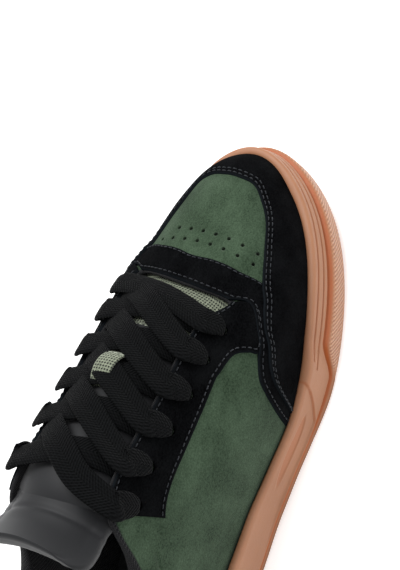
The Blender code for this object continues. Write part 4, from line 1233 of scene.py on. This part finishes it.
def build_eyestay():
    """Two legs along the throat, and the bar with its side strips that lies over them."""
    pieces = []
    for side in ("lat", "med"):
        rows = smooth_path(EYESTAY_LEG, PANEL_DIVISIONS)
        if side == "med":
            rows = rows * (-1, -1, 1) + (COUNT, COUNT, 0)
        throat = ring_place(rows[:, 0])
        leg = panel(
            "eyestay_leg_" + side, (throat, np.full_like(throat, EYESTAY_TOP)),
            (ring_place(rows[:, 1]), rows[:, 2]), seams_first=(THROAT_SEAM,),
            seams_second=(LEG_SEAM,))
        cut(leg, pins("eyestay_cutter", *eyelet_places(), EYELET_DIAMETER, .010))
        pieces.append(leg)
    inner_side = [
        (COUNT - pair.rear, pair.rear_share, COUNT - pair.front, pair.front_share)
        for pair in reversed(SIDE_STRIP)]
    rows = smooth_path([*SIDE_STRIP, *VAMP_BAR, *inner_side], PANEL_DIVISIONS)
    over_leg = overlap_share(rows[:, 0], *BAR_OVER_LEG)
    pieces.append(panel(
        "eyestay_bar", (ring_place(rows[:, 0]), np.clip(rows[:, 1], 0, EYESTAY_TOP)),
        (ring_place(rows[:, 2]), rows[:, 3]), seams_first=(BAR_SEAM,),
        seams_second=(STRIP_SEAM,), thickness=STRIP_THICKNESS, lift_first=STRIP_LIFT * over_leg))
    return pieces


# The tongue and the laces lie on a crowned bridge over the throat
def throat_edges(along):
    """The two facing points of the throat's edge, along from 0 at its front to 1."""
    along = min(max(along, 0.0), 1.0)
    station = THROAT_FRONT + (THROAT_TOP - THROAT_FRONT) * along
    lateral = ring_place(station)
    medial = ring_place(COUNT - station)
    return (lateral, medial), wall_face(lateral, np.asarray(1.0)), wall_face(medial, np.asarray(1.0))


def throat_frame(along):
    """Middle, half width, upward direction and crown of the throat's bridge."""
    _, lateral, medial = throat_edges(along)
    middle = (lateral + medial) / 2
    half = (medial - lateral) / 2
    step = .02
    start = min(max(along, 0.0), 1.0)
    ahead = [(sum(throat_edges(start + shift)[1:]) / 2) for shift in (-step, step)]
    back = ahead[1] - ahead[0]
    back = back / np.linalg.norm(back)
    if along < 0.0:
        back = np.array(TONGUE_FRONT_RUN)
        middle = middle + back * TONGUE_TUCK * along
    if along > 1.0:
        bend = np.radians(TONGUE_BEND[0] + TONGUE_BEND[1] * min(along - 1.0, 1.0))
        back = np.array([-np.cos(bend), 0.0, np.sin(bend)])
        middle = middle + back * TONGUE_RISE * (along - 1.0)
    upward = np.cross(back, half)
    upward = upward / np.linalg.norm(upward)
    upward = upward * np.sign(upward[2])
    crown = THROAT_WIDTH * float(.14 + .12 * smooth_step(along, 0, .75) - .05 * smooth_step(along, 1, 1.6))
    return middle, half, upward, crown


def bridge_point(along, across, lift):
    """Point on the crowned bridge over the throat, across from -1 to 1 at its edges."""
    middle, half, upward, crown = throat_frame(along)
    across = np.asarray(across, float)[..., None]
    return middle + half * across + upward * (crown * (1 - across**2) + np.asarray(lift)[..., None])


def bridge_normal(along, across):
    """Direction square to the crowned bridge."""
    _, half, upward, crown = throat_frame(along)
    normal = upward + half * 2 * crown * across / np.dot(half, half)
    return normal / np.linalg.norm(normal)


def tongue_row(along, across):
    """Points of the tongue's top: under the bridge, and tucked under the eyestay."""
    sunk = UPPER_WALL + TONGUE_CLEARANCE * (1 + smooth_step(np.abs(across), .55, 1.0))
    free = bridge_point(along, across, -sunk)
    (lateral, medial), _, _ = throat_edges(along)
    place = np.where(across < 0, lateral, medial)
    share = 1.0 - np.clip(np.abs(across) - 1.0, 0.0, None) * .40
    tucked = upper_face(place, share, -sunk)
    held = float(smooth_step(along, -.10, .10) * (1 - smooth_step(along, .98, 1.12)))
    blend = np.where(np.abs(across) > 1.0, held, 0.0)[:, None]
    return free + (tucked - free) * blend


def build_tongue():
    rows = smooth_path([tuple(row) for row in TONGUE_SECTIONS], 12)
    points_across = 48
    shape = np.linspace(-1.0, 1.0, points_across)
    grid = []
    for place, reach, thick in rows:
        _, _, upward, _ = throat_frame(place)
        top = tongue_row(place, shape * reach)
        quilt = .0006 * hump(place, 1.30, .05) + .0005 * hump(np.abs(shape), .80, .04) * (place > 1.05)
        top = top - upward * np.broadcast_to(quilt, shape.shape)[:, None]
        depth = TONGUE_THICKNESS * thick * (1.0 - .72 * np.abs(shape)**3)
        bottom = top - upward * depth[:, None]
        grid.append(np.concatenate([top, bottom[::-1]]))
    grid = np.array(grid)
    beyond = smooth_step(rows[:, 0], MESH_END, MESH_END + .006)
    plain = np.broadcast_to(beyond[:, None], grid.shape[:2])
    guide = grid[:, points_across // 2]
    tongue = skin("tongue_finish", grid, flat_map(grid, guide), marks={"plain": plain})
    tongue.data.materials.append(MESH)
    across = np.linspace(-.80, .80, 60)
    line = tongue_row(MESH_END + .008, across)
    normals = np.array([bridge_normal(MESH_END, value) for value in across])
    PALE_STITCHES.run(line, normals)
    return tongue


def build_keeper():
    """The mesh tab that holds the lace on the tongue, arched over one strap."""
    rows_along, points_across = 28, 12
    run = np.linspace(0.0, 1.0, rows_along)
    tops, normals = [], []
    for share in run:
        place = KEEPER_START + (KEEPER_END - KEEPER_START) * share
        middle = -.04 + .15 * share
        across = middle + KEEPER_REACH * np.linspace(-1.0, 1.0, points_across)
        arch = -.0034 + .0078 * np.sin(np.pi * share)**.5
        tops.append(bridge_point(place, across, np.full(points_across, arch)))
        normals.append(bridge_normal(place, middle))
    tops = np.array(tops)
    normals = np.array(normals)
    unders = tops[:, ::-1] - normals[:, None] * KEEPER_THICKNESS
    grid = np.concatenate([tops, unders], axis=1)
    keeper = skin(
        "keeper_tab", grid, flat_map(grid, tops[:, 0]), marks={"plain": np.zeros(grid.shape[:2])})
    keeper.data.materials.append(MESH)
    hem = rows_along // 5
    PALE_STITCHES.run(tops[hem], np.repeat(normals[hem:hem + 1], points_across, axis=0))
    return keeper


def row_along(row, side):
    """Place of an eyelet along the throat, further forward on the inner side."""
    shift = MEDIAL_ROW_SHIFT if side > 0 else 0.0
    ahead = THROAT_FRONT - FIRST_ROW_STATION + ROW_SPACING * row - shift
    return ahead / (THROAT_FRONT - THROAT_TOP)


Stop = namedtuple("Stop", "point normal width")


def over_eyelet(row, side, spare=0.0):
    """Lace's stops over the eyestay's edge and down into the eyelet."""
    lateral = FIRST_ROW_STATION - ROW_SPACING * row
    place = np.asarray(ring_place(lateral if side < 0 else COUNT - lateral - MEDIAL_ROW_SHIFT))
    resting = OVERLAY_THICKNESS + LACE_THICKNESS / 2
    levels = [
        (1.015, .0016 + spare, 1.0), (.965, .0012 + spare, .96), (.915, .0010, .82),
        (EYELET_SHARE + .012, -.0006, .54), (EYELET_SHARE - .002, -.0046, .36)]
    return [
        Stop(upper_face(place, share, resting + out), face_normal(place, np.asarray(share)), width)
        for share, out, width in levels]


def bridge_stop(along, across, lift, width=1.0):
    """Lace's stop over the tongue."""
    return Stop(bridge_point(along, across, lift), bridge_normal(along, across), width)


def crossing_stops(row, side, layer):
    """A strap from under the eyestay on one side, over the tongue, to the next eyelet."""
    start = row_along(row, side)
    step = row_along(row + 1, -side) - start
    high = LACE_REST + LACE_THICKNESS * 1.08 * layer
    return [
        bridge_stop(start - .02 * step, side * 1.04, LACE_REST - .0030, .9),
        bridge_stop(start + .06 * step, side * .84, LACE_REST - .0002),
        bridge_stop(start + .24 * step, side * .50, LACE_REST + .0008 + .0012 * layer),
        bridge_stop(start + .50 * step, 0.0, high + .0004),
        bridge_stop(start + .78 * step, -side * .56, high + .0012),
        *over_eyelet(row + 1, -side, .0008 * layer),
    ]


def strap_grid(stops):
    """Cross-sections of a flat lace along its stops, and their UV map."""
    path = smooth_path([stop.point for stop in stops], 9)
    upward = smooth_path([stop.normal for stop in stops], 9)
    widths = smooth_path([[stop.width] for stop in stops], 9)[:, 0] * LACE_WIDTH
    direction = np.gradient(path, axis=0)
    direction = direction / np.linalg.norm(direction, axis=1, keepdims=True)
    side = np.cross(direction, upward)
    side = side / np.linalg.norm(side, axis=1, keepdims=True)
    lift = np.cross(side, direction)
    angles = np.arange(20) * 2 * np.pi / 20
    flat = np.sign(np.cos(angles)) * np.abs(np.cos(angles))**.55
    thick = np.sign(np.sin(angles)) * np.abs(np.sin(angles))**.80
    length = length_along(path)
    folded = np.clip(LACE_WIDTH / widths, 1.0, 1.35)
    across = flat[None, :] * widths[:, None] / 2
    raised = thick[None, :] / 2 * LACE_THICKNESS * folded[:, None]
    grid = path[:, None] + side[:, None] * across[..., None] + lift[:, None] * raised[..., None]
    uv = np.zeros((len(path) + 1, len(angles) + 1, 2))
    uv[:-1, :, 0] = length[:, None]
    uv[:-1, :-1, 1] = across
    uv[:-1, -1, 1] = across[:, 0]
    return grid, uv


def build_laces():
    """The straight bar at the front and the crossings behind it."""
    start = row_along(0, -1)
    step = row_along(0, 1) - start
    bar = [
        *reversed(over_eyelet(0, -1)),
        bridge_stop(start + .22 * step, -.55, LACE_REST + .0026),
        bridge_stop(start + .50 * step, 0.0, LACE_REST + .0018),
        bridge_stop(start + .78 * step, .55, LACE_REST + .0026),
        *over_eyelet(0, 1),
    ]
    straps = [skin("lace_bar", *strap_grid(bar))]
    for row in range(EYELET_ROWS - 1):
        for side, layer in ((-1, 0), (1, 1)):
            name = "lace_%d_%s" % (row + 1, "under" if layer == 0 else "over")
            straps.append(skin(name, *strap_grid(crossing_stops(row, side, layer))))
    for strap in straps:
        strap.data.materials.append(LACE)
    return straps


def dress(piece, slot, *nodes):
    """Fix a piece to the shoe's one body and hide the solids it stands for."""
    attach(piece, "root")
    if nodes:
        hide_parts(*nodes)


dress(build_cupsole(), "gum_rubber", "cupsole")
dress(build_upper(), "green_suede", "upper")
guard = build_foot_panel("toe_guard_finish", TOE_GUARD_EDGE, 300, 1.0)
dress(guard, "black_suede", "toe_guard")
counter = build_foot_panel("heel_counter_finish", COUNTER_EDGE, 150, 0.0)
dress(counter, "black_suede", "heel_counter")
for panel_piece in build_eyestay():
    dress(panel_piece, "black_suede", "eyestay")
tongue = build_tongue()
dress(tongue, "sage_mesh", "tongue")
dress(build_keeper(), "sage_mesh")
for strap in build_laces():
    dress(strap, "black_lace", "laces")
dress(STITCHES.build(), "black_suede")
dress(PALE_STITCHES.build(), "sage_mesh")
insole = bpy.data.objects["insole"]
insole.data.materials.clear()
insole.data.materials.append(FOOTBED)


# Floor, light and camera
def build_stage():
    bpy.ops.mesh.primitive_plane_add(size=4.0, location=(0.0, 0.0, 0.0))
    floor = bpy.context.object
    floor.name = "floor"
    finish = Finish("pale_floor", Roughness=.9, Specular_IOR_Level=.1, Emission_Strength=.42)
    grain = finish.scale(finish.noise(.20, 2.0), .3, .7)
    shade = finish.blend(grain, colour(.88, .88, .88), colour(.90, .90, .90))
    floor.data.materials.append(finish.finish(shade))
    world = bpy.data.worlds.new("studio")
    world.use_nodes = True
    world.node_tree.nodes["Background"].inputs["Color"].default_value = colour(1.0, 1.0, 1.0)
    world.node_tree.nodes["Background"].inputs["Strength"].default_value = .60
    bpy.context.scene.world = world
    bpy.context.scene.view_settings.view_transform = "Standard"


def add_light(name, location, target, size, power):
    data = bpy.data.lights.new(name, "AREA")
    data.shape = "DISK"
    data.size = size
    data.energy = power
    lamp = bpy.data.objects.new(name, data)
    lamp.location = location
    lamp.rotation_euler = (Vector(target) - Vector(location)).to_track_quat("-Z", "Y").to_euler()
    bpy.context.scene.collection.objects.link(lamp)


def build_camera():
    """Look at the forefoot from above its outer side, rolled, from 0.6 m away."""
    azimuth, elevation, roll = np.radians([-19.889, 54.756, -58.592])
    target = np.array([.218812, -.006445, .061127]) - CENTRE
    distance = .600
    focal_pixels = 1358.855
    long_side = 570
    back = np.array([
        np.sin(azimuth) * np.cos(elevation), -np.cos(azimuth) * np.cos(elevation), np.sin(elevation)])
    level = np.array([np.cos(azimuth), np.sin(azimuth), 0.0])
    upright = np.cross(back, level)
    right = np.cos(roll) * level + np.sin(roll) * upright
    up = -np.sin(roll) * level + np.cos(roll) * upright
    data = bpy.data.cameras.new("camera")
    data.sensor_width = 36.0
    data.lens = focal_pixels * data.sensor_width / long_side
    camera = bpy.data.objects.new("camera", data)
    turn = Matrix(np.stack([right, up, back], 1).tolist()).to_4x4()
    camera.matrix_world = Matrix.Translation(target + back * distance) @ turn
    bpy.context.scene.collection.objects.link(camera)
    bpy.context.scene.camera = camera


build_stage()
add_light("key", (.50, .30, 1.05), (.05, 0, .04), .80, 12.0)
add_light("fill", (.10, -.80, .90), (.05, 0, .04), .90, 2.5)
build_camera()
